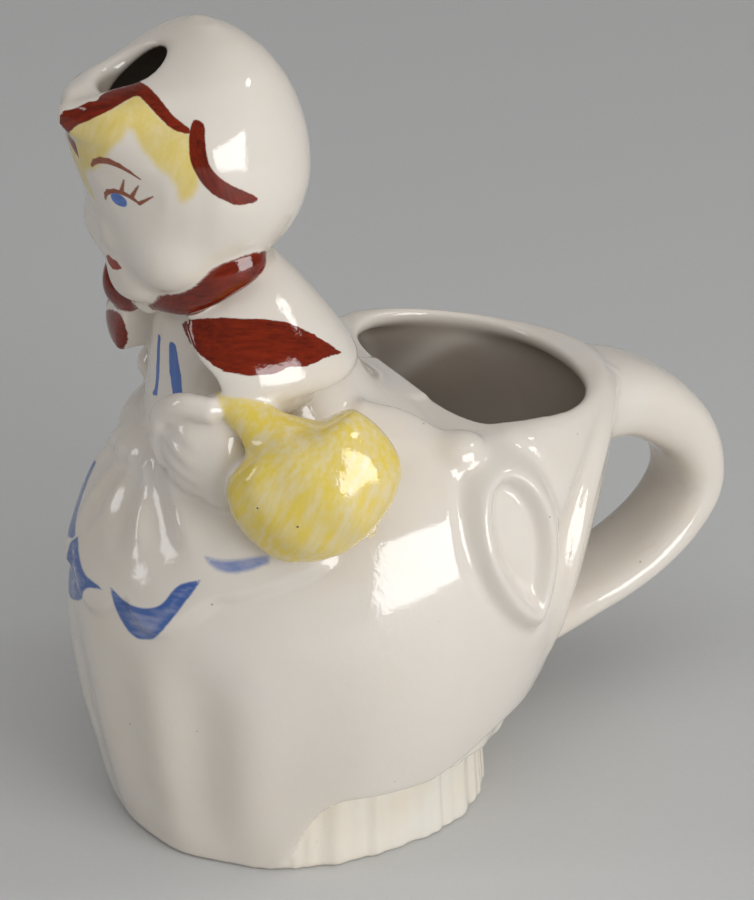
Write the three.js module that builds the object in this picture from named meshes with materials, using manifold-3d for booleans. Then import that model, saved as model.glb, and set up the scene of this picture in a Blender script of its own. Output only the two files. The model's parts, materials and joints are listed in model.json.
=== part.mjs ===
// A figural creamer: a bonneted girl in a full skirt, slip-cast in white earthenware.
// Millimetres, +Z up. She faces -Y, the pouring lip is the front of her bonnet, the filling
// mouth is behind her shoulders and the strap handle is at +Y. Her left hand is on the +X side.
// The origin is on the table, under the middle of the skirt.

import * as THREE from "three";
import Module from "manifold-3d";
import { mergeVertices } from "three/addons/utils/BufferGeometryUtils.js";

const wasm = await Module();
wasm.setup();

// Main sizes
const height = 136; // table to the crown of the bonnet
const length = 120; // pouring lip to the outside of the handle
const width = 74; // across the skirt at its widest

// Pottery sizes
const wall = 3.4; // thickness of the cast wall
const seam = 0.3; // slip joint between one cast piece and the next
const floorThickness = 5;

// Every place and form below is a share of the main sizes, in percent
const up = (share) => (share / 100) * height;
const back = (share) => (share / 100) * length;
const aside = (share) => (share / 100) * width;
const place = ([x, y, z]) => [aside(x), back(y), up(z)];

// Levels: height, then front, rear and half width of the oval
const levelsOf = (rows) =>
  rows.map(([z, front, rear, half]) => [up(z), back(front), back(rear), aside(half)]);

// Stops along a path: x, y, z, then half width and half thickness, both as shares of the height
const stopsOf = (rows) => rows.map(([x, y, z, half, thick]) => [...place([x, y, z]), up(half), up(thick)]);

// Corners of a flat outline: x, z
const outlineOf = (rows) => rows.map(([x, z]) => [aside(x), up(z)]);

const skirtLevels = levelsOf([
  [0, -25.4, 28.3, 38.4],
  [4.4, -27, 29.4, 41.2],
  [10.3, -28.8, 30.7, 44.6],
  [17.6, -30.4, 35, 48.4],
  [25, -31.3, 38.7, 50.3],
  [32.4, -30.7, 41.5, 50],
  [39.7, -27.5, 44, 47.3],
  [44.9, -22.8, 45.2, 43.5],
  [48.5, -17.5, 45.5, 38.9],
  [50.4, -10.8, 45.2, 35.1],
]);
const rimFall = { from: up(31), start: back(20), end: back(45), drop: up(1.9) }; // lower towards the handle
const skirtFolds = [
  { angle: 12, width: 9, depth: up(0.7) },
  { angle: 36, width: 8, depth: up(1.2) },
  { angle: 62, width: 11, depth: up(0.7) },
];
const hemCorner = { angle: 57, width: 12, depth: up(-0.7), top: up(14) }; // the hem juts out beside her lap
const foldFade = { start: up(-6), full: up(16), fading: up(20), end: up(34) }; // full between the middle two

// The skirt swells up to the waist and to the back of the bodice
const waist = { centre: place([0, -4.2, 43.4]), radii: place([31.8, 18.8, 13.6]) };

// Petticoat, which is also the foot and the floor of the jug
const petticoat = {
  y: back(0.3),
  depth: back(23.8),
  half: aside(37.6),
  squareness: 0.86,
  top: up(17.6),
  pleats: 24,
  pleatDepth: up(0.5),
  flounce: up(10), // the smooth upper flounce hangs down to this height
};

// The hem rests on the table in front, is lifted at her sides and a little more behind
const hem = {
  side: { lift: up(10.6), from: 55, to: 75 },
  rear: { lift: up(4.2), from: 97, to: 127 },
};

// Filling mouth
const mouth = {
  y: back(25.8), // where it is widest
  front: { reach: back(9.6), power: 0.6 }, // nearly straight behind her shoulders
  rear: { reach: back(14.6), power: 0.95 },
  halfWidth: aside(29.7),
  depth: up(16.2),
  taper: up(1.5),
};

const bodiceLevels = levelsOf([
  [45.6, -18.3, 9.2, 27],
  [50, -20.4, 9, 25.7],
  [53.7, -20.8, 8.7, 23],
  [57.4, -20.4, 6.7, 20.9],
  [61.8, -20, 2.2, 20.9],
  [66.2, -19.6, -1.2, 18.9],
  [69.9, -18.8, -3.6, 16.2],
  [72.1, -18.3, -5, 13.2],
  [74.3, -18, -5.6, 12.2],
]);

const capeLevels = levelsOf([
  [59.9, -23.8, 4.7, 29.2],
  [61.8, -24.2, 3.8, 29.2],
  [64.7, -23.7, 1.7, 27],
  [67.6, -22.3, -0.7, 23],
  [70.2, -20.7, -3, 18.6],
  [72.4, -18.7, -5.3, 13.8],
]);
const cape = { squareness: 0.78, gapTop: aside(2.7), gapLow: aside(8.1) };

const headLevels = levelsOf([
  [66.9, -22.9, -16.7, 4.7],
  [68.4, -24.2, -12.5, 10.1],
  [70.6, -25.2, -8.3, 14.9],
  [73.5, -26.1, -4.7, 19.5],
  [77.2, -27.3, -2, 23],
  [81.6, -29, -0.7, 24.9],
  [86, -30.7, -0.5, 25.1],
  [89.7, -31, -1.4, 23.9],
  [94.1, -25.5, -3.8, 19.7],
  [97.1, -20.5, -6.7, 14.6],
  [99, -16.5, -9.7, 8.6],
  [100, -14.3, -12.2, 3.4],
]);
const nose = { centre: place([0, -26.5, 77.5]), radii: place([2.4, 1.6, 1.8]) };
const chin = { centre: place([0, -22.7, 69.4]), radii: place([6.8, 2.8, 2.4]) };

// Pouring lip of the bonnet, from inside the brim to its tip, and the hole behind it
const lipStops = stopsOf([
  [0, -20.8, 91.6, 8.1, 4.4],
  [0, -25, 91.8, 7.6, 3.7],
  [0, -29.2, 91.9, 5.9, 2.7],
  [0, -32.2, 92.1, 3.7, 2.4],
  [0, -33.6, 92.2, 1.6, 1.9],
]);
const pouring = { centre: place([0, -23.6, 97.7]), radii: place([6.1, 6.9, 6.7]) };

// Handle, from its top root to its low root
const handleStops = stopsOf([
  [0, 39.2, 42.1, 8.8, 4.9],
  [0, 45.4, 41.9, 7.8, 5],
  [0, 51.2, 40.6, 6.9, 4.7],
  [0, 56.2, 37.9, 6.5, 4.4],
  [0, 60.2, 34.4, 6.2, 3.8],
  [0, 62.3, 30.3, 6.1, 3.3],
  [0, 62.3, 26.2, 6, 2.9],
  [0, 59.2, 22.3, 6, 2.6],
  [0, 54.7, 19.3, 6.2, 2.4],
  [0, 49.3, 17.1, 6.3, 2.4],
  [0, 43.3, 15.7, 6.6, 2.5],
  [0, 36.7, 14.6, 7.2, 2.9],
  [0, 29.2, 13.8, 7.9, 3.2],
]);

// Kerchief on her left, from the knot to its end
const kerchiefStops = stopsOf([
  [1.1, -22.3, 66.6, 0.9, 0.9],
  [7, -22.3, 68.2, 2.2, 1.7],
  [13.2, -19.7, 70.1, 2.9, 2.1],
  [17.4, -14.8, 71.9, 3.1, 2.1],
  [17.6, -10.5, 72.8, 2.2, 1.7],
  [15.1, -6.8, 73.1, 1, 1],
]);
const kerchiefKnot = { centre: place([0, -23.2, 66.5]), radii: place([3.8, 1.7, 1.6]) };

const leftArmStops = stopsOf([
  [21.6, -7.5, 60.3, 3.2, 3.1],
  [22.7, -11.7, 59.6, 3.2, 3.1],
  [22.2, -16.3, 58.2, 3, 2.9],
  [18.9, -19.7, 56.6, 2.8, 2.6],
]);
const leftHand = { centre: place([17.3, -20.2, 53]), radii: place([8.1, 4.6, 5.4]) };
const rightArmStops = stopsOf([
  [-20.5, -3.7, 61, 3.1, 2.9],
  [-23, -4.5, 58.8, 3.2, 3.1],
  [-24.9, -5.8, 56.6, 2.9, 2.8],
  [-25.9, -8.3, 54.1, 2.6, 2.5],
]);
const rightHand = { centre: place([-26.5, -10.3, 52.2]), radii: place([5.1, 4.7, 2.9]) };

// Bag, from the fist to its bottom, and the lobes that its gathers make
const bagStops = stopsOf([
  [19.7, -20.5, 60, 1, 1],
  [24.3, -19.2, 59.2, 2.3, 2],
  [28.6, -17.6, 58, 3.3, 2.7],
  [31.8, -16, 56.5, 5, 3.7],
  [34.8, -14, 54.6, 8.5, 5.5],
  [38.1, -11.5, 52.1, 9.8, 6.4],
  [41.6, -8.3, 49.1, 9.1, 6],
  [43.8, -6.2, 46.9, 6.2, 4.4],
  [44.6, -5.3, 46, 1.8, 1.5],
]);
const bagAcross = new THREE.Vector3(0.5, 0.87, 0);
const lobes = { count: 9, depth: up(0.7), from: 0.3, full: 0.5 };

// Bow on her left hip; the lower loop is drawn in y, z
const sashKnot = { centre: place([35.1, 12.2, 49]), radii: place([4.6, 3.2, 2.6]) };
const upperLoopStops = stopsOf([
  [33, 10.3, 50.3, 1.3, 1.4],
  [29.5, 7.5, 52.2, 2.4, 1.6],
  [24.9, 4.5, 54.1, 2.5, 1.6],
  [20.8, 2, 55.6, 1.1, 1.2],
]);
const lowerLoop = {
  top: [back(13.7), up(49.3)],
  low: [back(19.2), up(27.9)],
  half: back(6.2),
  band: up(1.8),
  relief: up(1.8),
};

// Apron: how far it stands off the skirt, its side edges, and its scallops from the middle out
const apron = { relief: up(0.9), rear: back(-7.5) };
const apronWaist = outlineOf([
  [5.4, 55.9],
  [18.9, 54.4],
  [32.4, 50],
  [44.6, 44.1],
]);
const scallops = [
  [[0, 30.7], [6.2, 31], [11.9, 34.3]],
  [[11.9, 34.3], [20.3, 27.8], [29.7, 37.1]],
  [[29.7, 37.1], [37, 37.6], [44.6, 44.1]],
].map(outlineOf);

const glaze = (color) => new THREE.MeshStandardMaterial({ color, roughness: 0.12, metalness: 0 });
const white = glaze(0xe9e3d8);
const cream = glaze(0xe4dcc8);
const yellow = glaze(0xe6cf56);
const red = glaze(0x8f2415);

// Points around a level of each form, and levels up it
const mesh = {
  skirt: [48, 12],
  bodice: [32, 8],
  head: [36, 14],
  cape: [44, 7],
  lining: [36, 7],
  well: [36, 8],
  mouth: 36,
  ball: [24, 14],
  smallBall: [14, 10],
  strap: 12,
};

const shortest = 0.01; // no edge shorter than this is kept
const degrees = Math.PI / 180;
const point = (x, y, z) => new THREE.Vector3(x, y, z);
const X = point(1, 0, 0);
const Y = point(0, 1, 0);
const Z = point(0, 0, 1);

// Solids

function solidOf(geometry) {
  const bare = new THREE.BufferGeometry();
  bare.setAttribute("position", geometry.getAttribute("position"));
  bare.setIndex(geometry.getIndex());
  const merged = mergeVertices(bare, 1e-4);
  return new wasm.Manifold(
    new wasm.Mesh({
      numProp: 3,
      vertProperties: merged.attributes.position.array,
      triVerts: new Uint32Array(merged.index.array),
    }),
  );
}

function geometryOf(solid) {
  const faces = solid.getMesh();
  const corners = new Float32Array(faces.numVert * 3);
  for (let i = 0; i < faces.numVert; i++) {
    corners.set(faces.vertProperties.subarray(i * faces.numProp, i * faces.numProp + 3), i * 3);
  }
  const geometry = new THREE.BufferGeometry();
  geometry.setAttribute("position", new THREE.BufferAttribute(corners, 3));
  geometry.setIndex(new THREE.BufferAttribute(new Uint32Array(faces.triVerts), 1));
  geometry.computeVertexNormals();
  return geometry;
}

// A closed skin over rings of points, each ring counter-clockwise seen from the last one.
function skin(rings) {
  const around = rings[0].length;
  const middle = (ring) => ring.reduce((sum, p) => sum.add(p), point(0, 0, 0)).divideScalar(ring.length);
  const points = [...rings.flat(), middle(rings[0]), middle(rings[rings.length - 1])];
  const faces = [];
  for (let k = 0; k + 1 < rings.length; k++) {
    for (let i = 0; i < around; i++) {
      const a = k * around + i;
      const b = k * around + ((i + 1) % around);
      faces.push(a, b, b + around, a, b + around, a + around);
    }
  }
  const start = rings.length * around;
  const last = (rings.length - 1) * around;
  for (let i = 0; i < around; i++) {
    const j = (i + 1) % around;
    faces.push(start, j, i, start + 1, last + i, last + j);
  }
  const geometry = new THREE.BufferGeometry().setFromPoints(points);
  geometry.setIndex(faces);
  return solidOf(geometry);
}

// Smooth values between the rows of a table whose first column rises.
function follow(rows) {
  const slope = (k, c) => {
    const low = rows[Math.max(k - 1, 0)];
    const high = rows[Math.min(k + 1, rows.length - 1)];
    return (high[c] - low[c]) / (high[0] - low[0]);
  };
  return (at) => {
    let k = 0;
    while (k < rows.length - 2 && at > rows[k + 1][0]) k++;
    const span = rows[k + 1][0] - rows[k][0];
    const t = THREE.MathUtils.clamp((at - rows[k][0]) / span, 0, 1);
    const t2 = t * t;
    const t3 = t2 * t;
    const blend = (c) => {
      const rise = (t3 - 2 * t2 + t) * slope(k, c) * span + (t3 - t2) * slope(k + 1, c) * span;
      return (2 * t3 - 3 * t2 + 1) * rows[k][c] + (3 * t2 - 2 * t3) * rows[k + 1][c] + rise;
    };
    return rows[0].slice(1).map((_, i) => blend(i + 1));
  };
}

const ring = (count, pointAt) => Array.from({ length: count }, (_, i) => pointAt((360 * i) / count));
const steps = (low, high, count) =>
  Array.from({ length: count + 1 }, (_, i) => low + ((high - low) * i) / count);
const lowest = (levels) => levels[0][0];
const highest = (levels) => levels[levels.length - 1][0];

// One level of the figure: an oval from its front to its rear, angle 0 at the front and 90 at her left.
// A squareness below 1 fills out its corners.
function ovalPoint([front, rear, half], angle, z, grow, squareness = 1) {
  const c = Math.cos(angle * degrees);
  const s = Math.sin(angle * degrees);
  const x = Math.sign(s) * Math.abs(s) ** squareness * (half + grow);
  const y = Math.sign(c) * Math.abs(c) ** squareness * ((rear - front) / 2 + grow);
  return point(x, (front + rear) / 2 - y, z);
}

function figure(levels, grow, [around, count], low = lowest(levels), high = highest(levels)) {
  const at = follow(levels);
  const level = (z) => ring(around, (angle) => ovalPoint(at(z), angle, z, grow));
  return skin(steps(low, high, count).map(level));
}

// A squashed ball.
function ball({ centre, radii }, grow, [across, down] = mesh.smallBall) {
  const geometry = new THREE.SphereGeometry(1, across, down);
  geometry.scale(...radii.map((r) => r + grow));
  geometry.translate(...centre);
  return solidOf(geometry);
}

// A strap along a smooth path. Its width follows the given direction across the path, power squares
// its section, and ripple waves it in and out.
function strap(stops, across, grow, count, { around = mesh.strap, power = 1, ripple = () => 0 } = {}) {
  const path = new THREE.CatmullRomCurve3(stops.map((s) => point(s[0], s[1], s[2])));
  const sizes = follow(stops.map((s, i) => [i, s[3], s[4]]));
  const rings = [];
  for (let k = 0; k <= count; k++) {
    const t = k / count;
    const along = path.getTangent(t);
    const side = across.clone().addScaledVector(along, -across.dot(along)).normalize();
    const out = along.clone().cross(side);
    const centre = path.getPoint(t);
    if (k === 0) centre.addScaledVector(along, -grow);
    if (k === count) centre.addScaledVector(along, grow);
    const [half, thick] = sizes(t * (stops.length - 1));
    rings.push(
      ring(around, (angle) => {
        const c = Math.cos(angle * degrees);
        const s = Math.sin(angle * degrees);
        const swell = grow + ripple(angle, t);
        const a = Math.sign(c) * Math.abs(c) ** power * (half + swell);
        const b = Math.sign(s) * Math.abs(s) ** power * (thick + swell);
        return centre.clone().addScaledVector(side, a).addScaledVector(out, b);
      }),
    );
  }
  return skin(rings);
}

// A flat outline pushed through, its plane given by two directions; the push is their cross product.
function prism(outline, right, upward, start, depth, holes = []) {
  const shape = new THREE.Shape(outline.map((p) => new THREE.Vector2(...p)));
  shape.holes = holes.map((hole) => new THREE.Path(hole.map((p) => new THREE.Vector2(...p))));
  const geometry = new THREE.ExtrudeGeometry(shape, { depth, bevelEnabled: false });
  geometry.translate(0, 0, start);
  geometry.applyMatrix4(new THREE.Matrix4().makeBasis(right, upward, right.clone().cross(upward)));
  return solidOf(geometry);
}

// Skirt

const smooth = THREE.MathUtils.smoothstep;
const turnOf = (angle) => Math.abs(((angle + 180) % 360) - 180);
const skirtTop = highest(skirtLevels);

function foldDepth(angle, z) {
  const dip = (f) => f.depth * Math.exp(-(((turnOf(angle) - f.angle) / f.width) ** 2));
  const { start, full, fading, end } = foldFade;
  const fade = smooth(z, start, full) * (1 - smooth(z, fading, end));
  const corner = dip(hemCorner) * (1 - smooth(z, 0, hemCorner.top));
  return fade * skirtFolds.reduce((sum, f) => sum + dip(f), 0) + corner;
}

// The rim falls towards the handle.
function tip(p) {
  const fall = rimFall.drop * smooth(p.y, rimFall.start, rimFall.end) * smooth(p.z, rimFall.from, skirtTop);
  return point(p.x, p.y, p.z - fall);
}

function skirtBell(grow, low, high, [around, count], inset = () => 0) {
  const at = follow(skirtLevels);
  const level = (z) => ring(around, (angle) => tip(ovalPoint(at(z), angle, z, grow - inset(angle, z))));
  return skin(steps(low, high, count).map(level));
}

function skirtOuter(grow) {
  return skirtBell(grow, 0, skirtTop + grow, mesh.skirt, foldDepth).add(ball(waist, grow, mesh.ball));
}

function hemHeight(angle) {
  const { side, rear } = hem;
  const t = THREE.MathUtils.clamp((turnOf(angle) - side.from) / (side.to - side.from), 0, 1);
  return side.lift * t * (2 - t) + rear.lift * smooth(turnOf(angle), rear.from, rear.to);
}

// Everything below the lifted hem.
function belowHem(raise) {
  const reach = length / 2;
  const near = petticoat.half / 3;
  const around = mesh.skirt[0];
  const at = (radius, z) => ring(around, (angle) => ovalPoint([-radius, radius, radius], angle, z(angle), 0));
  const hemAt = (angle) => hemHeight(angle) + raise;
  return skin([at(reach, () => -hem.side.lift), at(reach, hemAt), at(near, hemAt)]);
}

function pleatedColumn() {
  const p = petticoat;
  const level = (z) =>
    ring(p.pleats * 3, (angle) => {
      const pleat = p.pleatDepth * Math.cos(angle * degrees * p.pleats);
      return ovalPoint([p.y - p.depth, p.y + p.depth, p.half], angle, z, pleat - p.pleatDepth, p.squareness);
    });
  return skin([level(0), level(p.flounce + wall)]);
}

// The inside of the foot, which widens above the pleats into the skirt.
function well() {
  const { y, depth, half, flounce, top } = petticoat;
  const low = [y - depth + wall, y + depth - wall, half - wall];
  const [front, rear, side] = follow(skirtLevels)(top);
  const high = [front + 2 * wall, rear - 2 * wall, side - 2 * wall];
  const rows = [
    [floorThickness, ...low],
    [flounce - wall / 2, ...low],
    [top, ...high],
    [top + 2 * wall, ...high],
  ];
  return figure(rows, 0, mesh.well);
}

// Cape and head

function capeOuter(grow) {
  const at = follow(capeLevels);
  const [around, count] = mesh.cape;
  const level = (z) => ring(around, (angle) => ovalPoint(at(z), angle, z, grow, cape.squareness));
  const heights = steps(lowest(capeLevels), highest(capeLevels), count);
  heights[0] -= grow;
  return skin(heights.map(level));
}

// The cape is open in front, wider towards its edge.
function capeOpening() {
  const high = highest(capeLevels) + wall;
  const low = lowest(capeLevels) - wall;
  const outline = [
    [-cape.gapTop, high],
    [-cape.gapLow, low],
    [cape.gapLow, low],
    [cape.gapTop, high],
  ];
  return prism(outline, X, Z, back(10), length / 3);
}

function headOuter(grow) {
  const skull = figure(headLevels, grow, mesh.head);
  const lip = strap(lipStops, X, grow, 8, { around: 16 });
  return skull.add(lip).add(ball(nose, grow)).add(ball(chin, grow));
}

// Bow

// A teardrop, round at the knot and pointed below, drawn this much inside its outer edge.
function loopOutline(inset) {
  const top = new THREE.Vector2(...lowerLoop.top);
  const fall = new THREE.Vector2(...lowerLoop.low).sub(top);
  const along = fall.clone().normalize();
  const start = top.clone().addScaledVector(along, inset * 1.2);
  const reach = fall.length() - inset * 3.4;
  return Array.from({ length: 24 }, (_, i) => {
    const turn = (i / 24) * 2 * Math.PI;
    const down = ((1 - Math.cos(turn)) / 2) * reach;
    const wide = (lowerLoop.half - inset) * 1.2 * Math.sin(turn) * Math.abs(Math.cos(turn / 2)) ** 0.5;
    return [start.x + along.x * down - along.y * wide, start.y + along.y * down + along.x * wide];
  });
}

function lowerLoopOuter(grow) {
  const loop = prism(loopOutline(0), Y, Z, aside(7), width, [loopOutline(lowerLoop.band).reverse()]);
  return skirtOuter(lowerLoop.relief + grow).intersect(loop);
}

// Apron

function apronOutline() {
  const half = [];
  for (const [from, dip, to] of scallops) {
    for (const t of [0, 0.25, 0.5, 0.75]) {
      const bend = (i) => (1 - t) ** 2 * from[i] + 2 * t * (1 - t) * dip[i] + t * t * to[i];
      half.push([bend(0), bend(1)]);
    }
  }
  half.push(...[...apronWaist].reverse());
  const other = half.slice(1).map(([x, z]) => [-x, z]);
  return [...half, ...other.reverse()];
}

const apronOuter = (grow) =>
  skirtOuter(apron.relief + seam + grow).intersect(prism(apronOutline(), X, Z, -apron.rear, length / 2));

// Bag

function bagOuter(grow) {
  const gather = (angle) => (lobes.depth * (1 - Math.cos(angle * degrees * lobes.count))) / 2;
  const ripple = (angle, t) => -smooth(t, lobes.from, lobes.full) * gather(angle);
  return strap(bagStops, bagAcross, grow, 16, { around: 36, ripple });
}

// A level of the filling mouth, counted in depths above the rim; it widens upwards.
function mouthLevel(k) {
  const { y, front, rear, halfWidth, depth, taper } = mouth;
  return ring(mesh.mouth, (angle) => {
    const c = Math.cos(angle * degrees);
    const s = Math.sin(angle * degrees);
    const { reach, power } = c > 0 ? front : rear;
    const across = Math.sign(s) * Math.abs(s) ** power * (halfWidth + k * taper);
    const along = Math.sign(c) * Math.abs(c) ** power * (reach + k * taper);
    return point(across, y - along, skirtTop + k * depth);
  });
}

// The hollow of the jug, from the floor to the mouth and up through the neck to the pouring lip
const hollow = (() => {
  const inside = skirtBell(-wall, -1, skirtTop - wall, mesh.lining);
  const column = skin([-1, 0, 1].map(mouthLevel));
  const bust = figure(bodiceLevels, -wall, [24, 5]);
  const skull = figure(headLevels, -wall, [24, 7], lowest(headLevels) + wall, highest(headLevels) - wall);
  return inside.add(column).add(bust).add(skull).add(ball(pouring, 0, [20, 10]));
})();

// Each piece gives way to the ones before it by the slip joint, and a paired one stays on her left.
const pieces = [
  {
    name: "skirt_shell",
    whole: skirtOuter,
    shape: (solid) => solid.subtract(hollow).subtract(belowHem(0)),
  },
  {
    name: "bodice",
    whole: (grow) => figure(bodiceLevels, grow, mesh.bodice),
    shape: (solid) => solid.subtract(hollow),
  },
  { name: "head", whole: headOuter, shape: (solid) => solid.subtract(hollow) },
  { name: "cape", whole: capeOuter, shape: (solid) => solid.subtract(capeOpening()) },
  { name: "handle", whole: (grow) => strap(handleStops, X, grow, 24, { around: 16, power: 0.8 }) },
  { name: "apron", whole: apronOuter },
  { name: "kerchief_knot", material: red, whole: (grow) => ball(kerchiefKnot, grow) },
  { name: "kerchief", material: red, paired: true, whole: (grow) => strap(kerchiefStops, Z, grow, 12) },
  { name: "sash_knot", paired: true, whole: (grow) => ball(sashKnot, grow) },
  { name: "sash_upper_loop", paired: true, whole: (grow) => strap(upperLoopStops, Y, grow, 8) },
  { name: "sash_lower_loop", paired: true, whole: lowerLoopOuter },
  { name: "arm_left", whole: (grow) => strap(leftArmStops, Z, grow, 8).add(ball(leftHand, grow)) },
  { name: "arm_right", whole: (grow) => strap(rightArmStops, Y, grow, 8).add(ball(rightHand, grow)) },
  { name: "bag", material: yellow, whole: bagOuter },
];

const creamer = new THREE.Group();
const add = (name, solid, material) => {
  const made = new THREE.Mesh(geometryOf(solid.simplify(shortest)), material);
  made.name = name;
  creamer.add(made);
};
const otherSide = (solid) => solid.mirror([1, 0, 0]);

const taken = [];
for (const { name, material = white, paired = false, whole, shape = (solid) => solid } of pieces) {
  const solid = shape(taken.reduce((left, other) => left.subtract(other(seam)), whole(0)));
  taken.push(whole);
  if (paired) {
    const half = solid.trimByPlane([1, 0, 0], seam / 2);
    add(name + "_left", half, material);
    add(name + "_right", otherSide(half), material);
    taken.push((grow) => otherSide(whole(grow)));
  } else {
    add(name, solid, material);
  }
}
const socket = skirtBell(-wall - seam, 0, petticoat.top, [mesh.skirt[0], 4]).subtract(belowHem(-2 * seam));
const flounce = skirtBell(-wall / 2, petticoat.flounce, petticoat.top, [mesh.skirt[0], 4]);
const tub = socket.add(pleatedColumn().add(flounce).intersect(belowHem(-seam)));
add("petticoat_foot", tub.subtract(well()), cream);

export default creamer;
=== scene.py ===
"""A figural cream jug: a bonneted girl in a full skirt, cast in one with her pleated foot and handle.

The fired jug is one soft skin of glazed clay, so its form is worked out as a block of values, negative
inside the clay, on a grid of cells. Each form is laid into the block, blended where a potter luted it,
and the skin is drawn where the values cross zero. The skin is then parted into named pieces.
Tables give places as shares of the jug's height, length and width, in percent.
"""

import json
import math

import bpy
import numpy as np
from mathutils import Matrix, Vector

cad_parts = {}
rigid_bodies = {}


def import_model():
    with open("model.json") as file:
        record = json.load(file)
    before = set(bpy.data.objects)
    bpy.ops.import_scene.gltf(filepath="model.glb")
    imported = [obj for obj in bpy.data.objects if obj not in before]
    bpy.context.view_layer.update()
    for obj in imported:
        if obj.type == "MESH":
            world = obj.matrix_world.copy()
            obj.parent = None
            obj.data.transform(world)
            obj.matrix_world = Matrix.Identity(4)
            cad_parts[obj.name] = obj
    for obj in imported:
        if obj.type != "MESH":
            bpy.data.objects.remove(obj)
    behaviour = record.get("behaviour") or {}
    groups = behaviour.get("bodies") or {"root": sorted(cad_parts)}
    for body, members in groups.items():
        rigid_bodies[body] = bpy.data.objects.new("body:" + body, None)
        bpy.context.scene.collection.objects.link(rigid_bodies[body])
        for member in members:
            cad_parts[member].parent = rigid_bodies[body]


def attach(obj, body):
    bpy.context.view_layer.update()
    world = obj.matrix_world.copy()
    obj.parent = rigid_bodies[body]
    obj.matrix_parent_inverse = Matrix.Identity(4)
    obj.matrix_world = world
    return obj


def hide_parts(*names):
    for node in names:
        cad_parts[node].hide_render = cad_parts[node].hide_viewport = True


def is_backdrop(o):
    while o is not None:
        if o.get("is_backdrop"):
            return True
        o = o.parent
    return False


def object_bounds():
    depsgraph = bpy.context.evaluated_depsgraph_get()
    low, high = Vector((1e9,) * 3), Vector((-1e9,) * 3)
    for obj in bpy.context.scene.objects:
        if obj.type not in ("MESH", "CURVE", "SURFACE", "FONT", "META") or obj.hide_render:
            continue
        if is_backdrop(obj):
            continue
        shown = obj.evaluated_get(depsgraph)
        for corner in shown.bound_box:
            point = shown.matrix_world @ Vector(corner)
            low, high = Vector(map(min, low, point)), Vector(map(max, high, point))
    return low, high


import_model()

CAD_BOX = [list(corner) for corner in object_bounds()]

bl_info = {
    "name": "Figural creamer",
    "version": (1, 0, 0),
    "blender": (4, 5, 0),
    "location": "3D View > Sidebar > Creamer",
    "description": "Casts, glazes and lights a figural cream jug",
    "category": "Object",
}

MM = 0.001
BODY = "root"
CLAY_LOW, CLAY_HIGH = (-40.5, -43.5, -2.5), (40.5, 81.5, 138.5)  # corners of the block of clay
FLOOR = 5  # thickness of the floor
FAR = 9  # a reach that no paint comes to
EVERYWHERE = (slice(None),) * 3

# Shares of the jug's sizes that several forms meet at
RIM = 50.4
MOUTH_MIDDLE = 25.8


# Settings


def length_setting(name, description, default, least):
    return bpy.props.FloatProperty(name=name, description=description, default=default, min=least,
                                   unit="LENGTH", subtype="DISTANCE")


def colour_setting(name, description, default):
    return bpy.props.FloatVectorProperty(name=name, description=description, default=default, min=0, max=1,
                                         subtype="COLOR")


class CreamerSizes(bpy.types.PropertyGroup):
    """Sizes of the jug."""

    height: length_setting("Height", "Table to the crown of the bonnet", 0.136, 0.05)
    length: length_setting("Length", "Pouring lip to the outside of the handle", 0.120, 0.05)
    width: length_setting("Width", "Across the skirt at its widest", 0.074, 0.03)
    wall: length_setting("Wall", "Thickness of the cast wall", 0.0034, 0.001)
    grain: length_setting("Grain", "Spacing of the cells that the skin is drawn through", 0.00055, 0.0003)


class CreamerGlazes(bpy.types.PropertyGroup):
    """Colours of the glaze and of the paint under it."""

    white: colour_setting("White", "Warm white glaze", (0.775, 0.722, 0.655))
    foot: colour_setting("Foot", "Creamier glaze that pools in the pleats", (0.83, 0.79, 0.71))
    # the lining colour is painted shade: the darker, warmer tone the inside of the hollow is drawn in
    lining: colour_setting("Lining", "Thin glaze inside, where the buff clay shows through", (0.42, 0.36, 0.305))
    red: colour_setting("Rust red", "Paint of the bonnet's edge, kerchief and cape", (0.165, 0.0135, 0.002))
    yellow: colour_setting("Yellow", "Paint of the hair and the bag", (0.80, 0.62, 0.10))
    blue: colour_setting("Blue", "Paint of the eyes, the stripes and the apron's edge", (0.075, 0.16, 0.46))
    brown: colour_setting("Brown", "Paint of the brows and lashes", (0.26, 0.055, 0.015))
    gloss: bpy.props.FloatProperty(
        name="Roughness", description="Roughness of the fired glaze", default=0.07, min=0.01, max=1)


class CreamerStage(bpy.types.PropertyGroup):
    """The table and the lamps."""

    table: colour_setting("Table", "Pale grey of the table and the wall behind it", (0.63, 0.63, 0.625))
    lamps: bpy.props.FloatProperty(
        name="Lamps", description="Strength of the lamps", default=1.0, min=0, max=10)


# Measures


class Measure:
    """Turns shares of the jug's sizes into millimetres."""

    def __init__(self, sizes):
        self.height, self.length, self.width, self.wall, self.grain = (
            getattr(sizes, name) / MM for name in ("height", "length", "width", "wall", "grain"))

    def up(self, share):
        return share / 100 * self.height

    def back(self, share):
        return share / 100 * self.length

    def aside(self, share):
        return share / 100 * self.width

    def place(self, x, y, z):
        return np.array([self.aside(x), self.back(y), self.up(z)])

    def levels(self, rows):
        return np.array([(self.up(z), self.back(f), self.back(r), self.aside(h)) for z, f, r, h in rows])

    def stops(self, rows):
        return np.array([(*self.place(x, y, z), self.up(h), self.up(t)) for x, y, z, h, t in rows])


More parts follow.
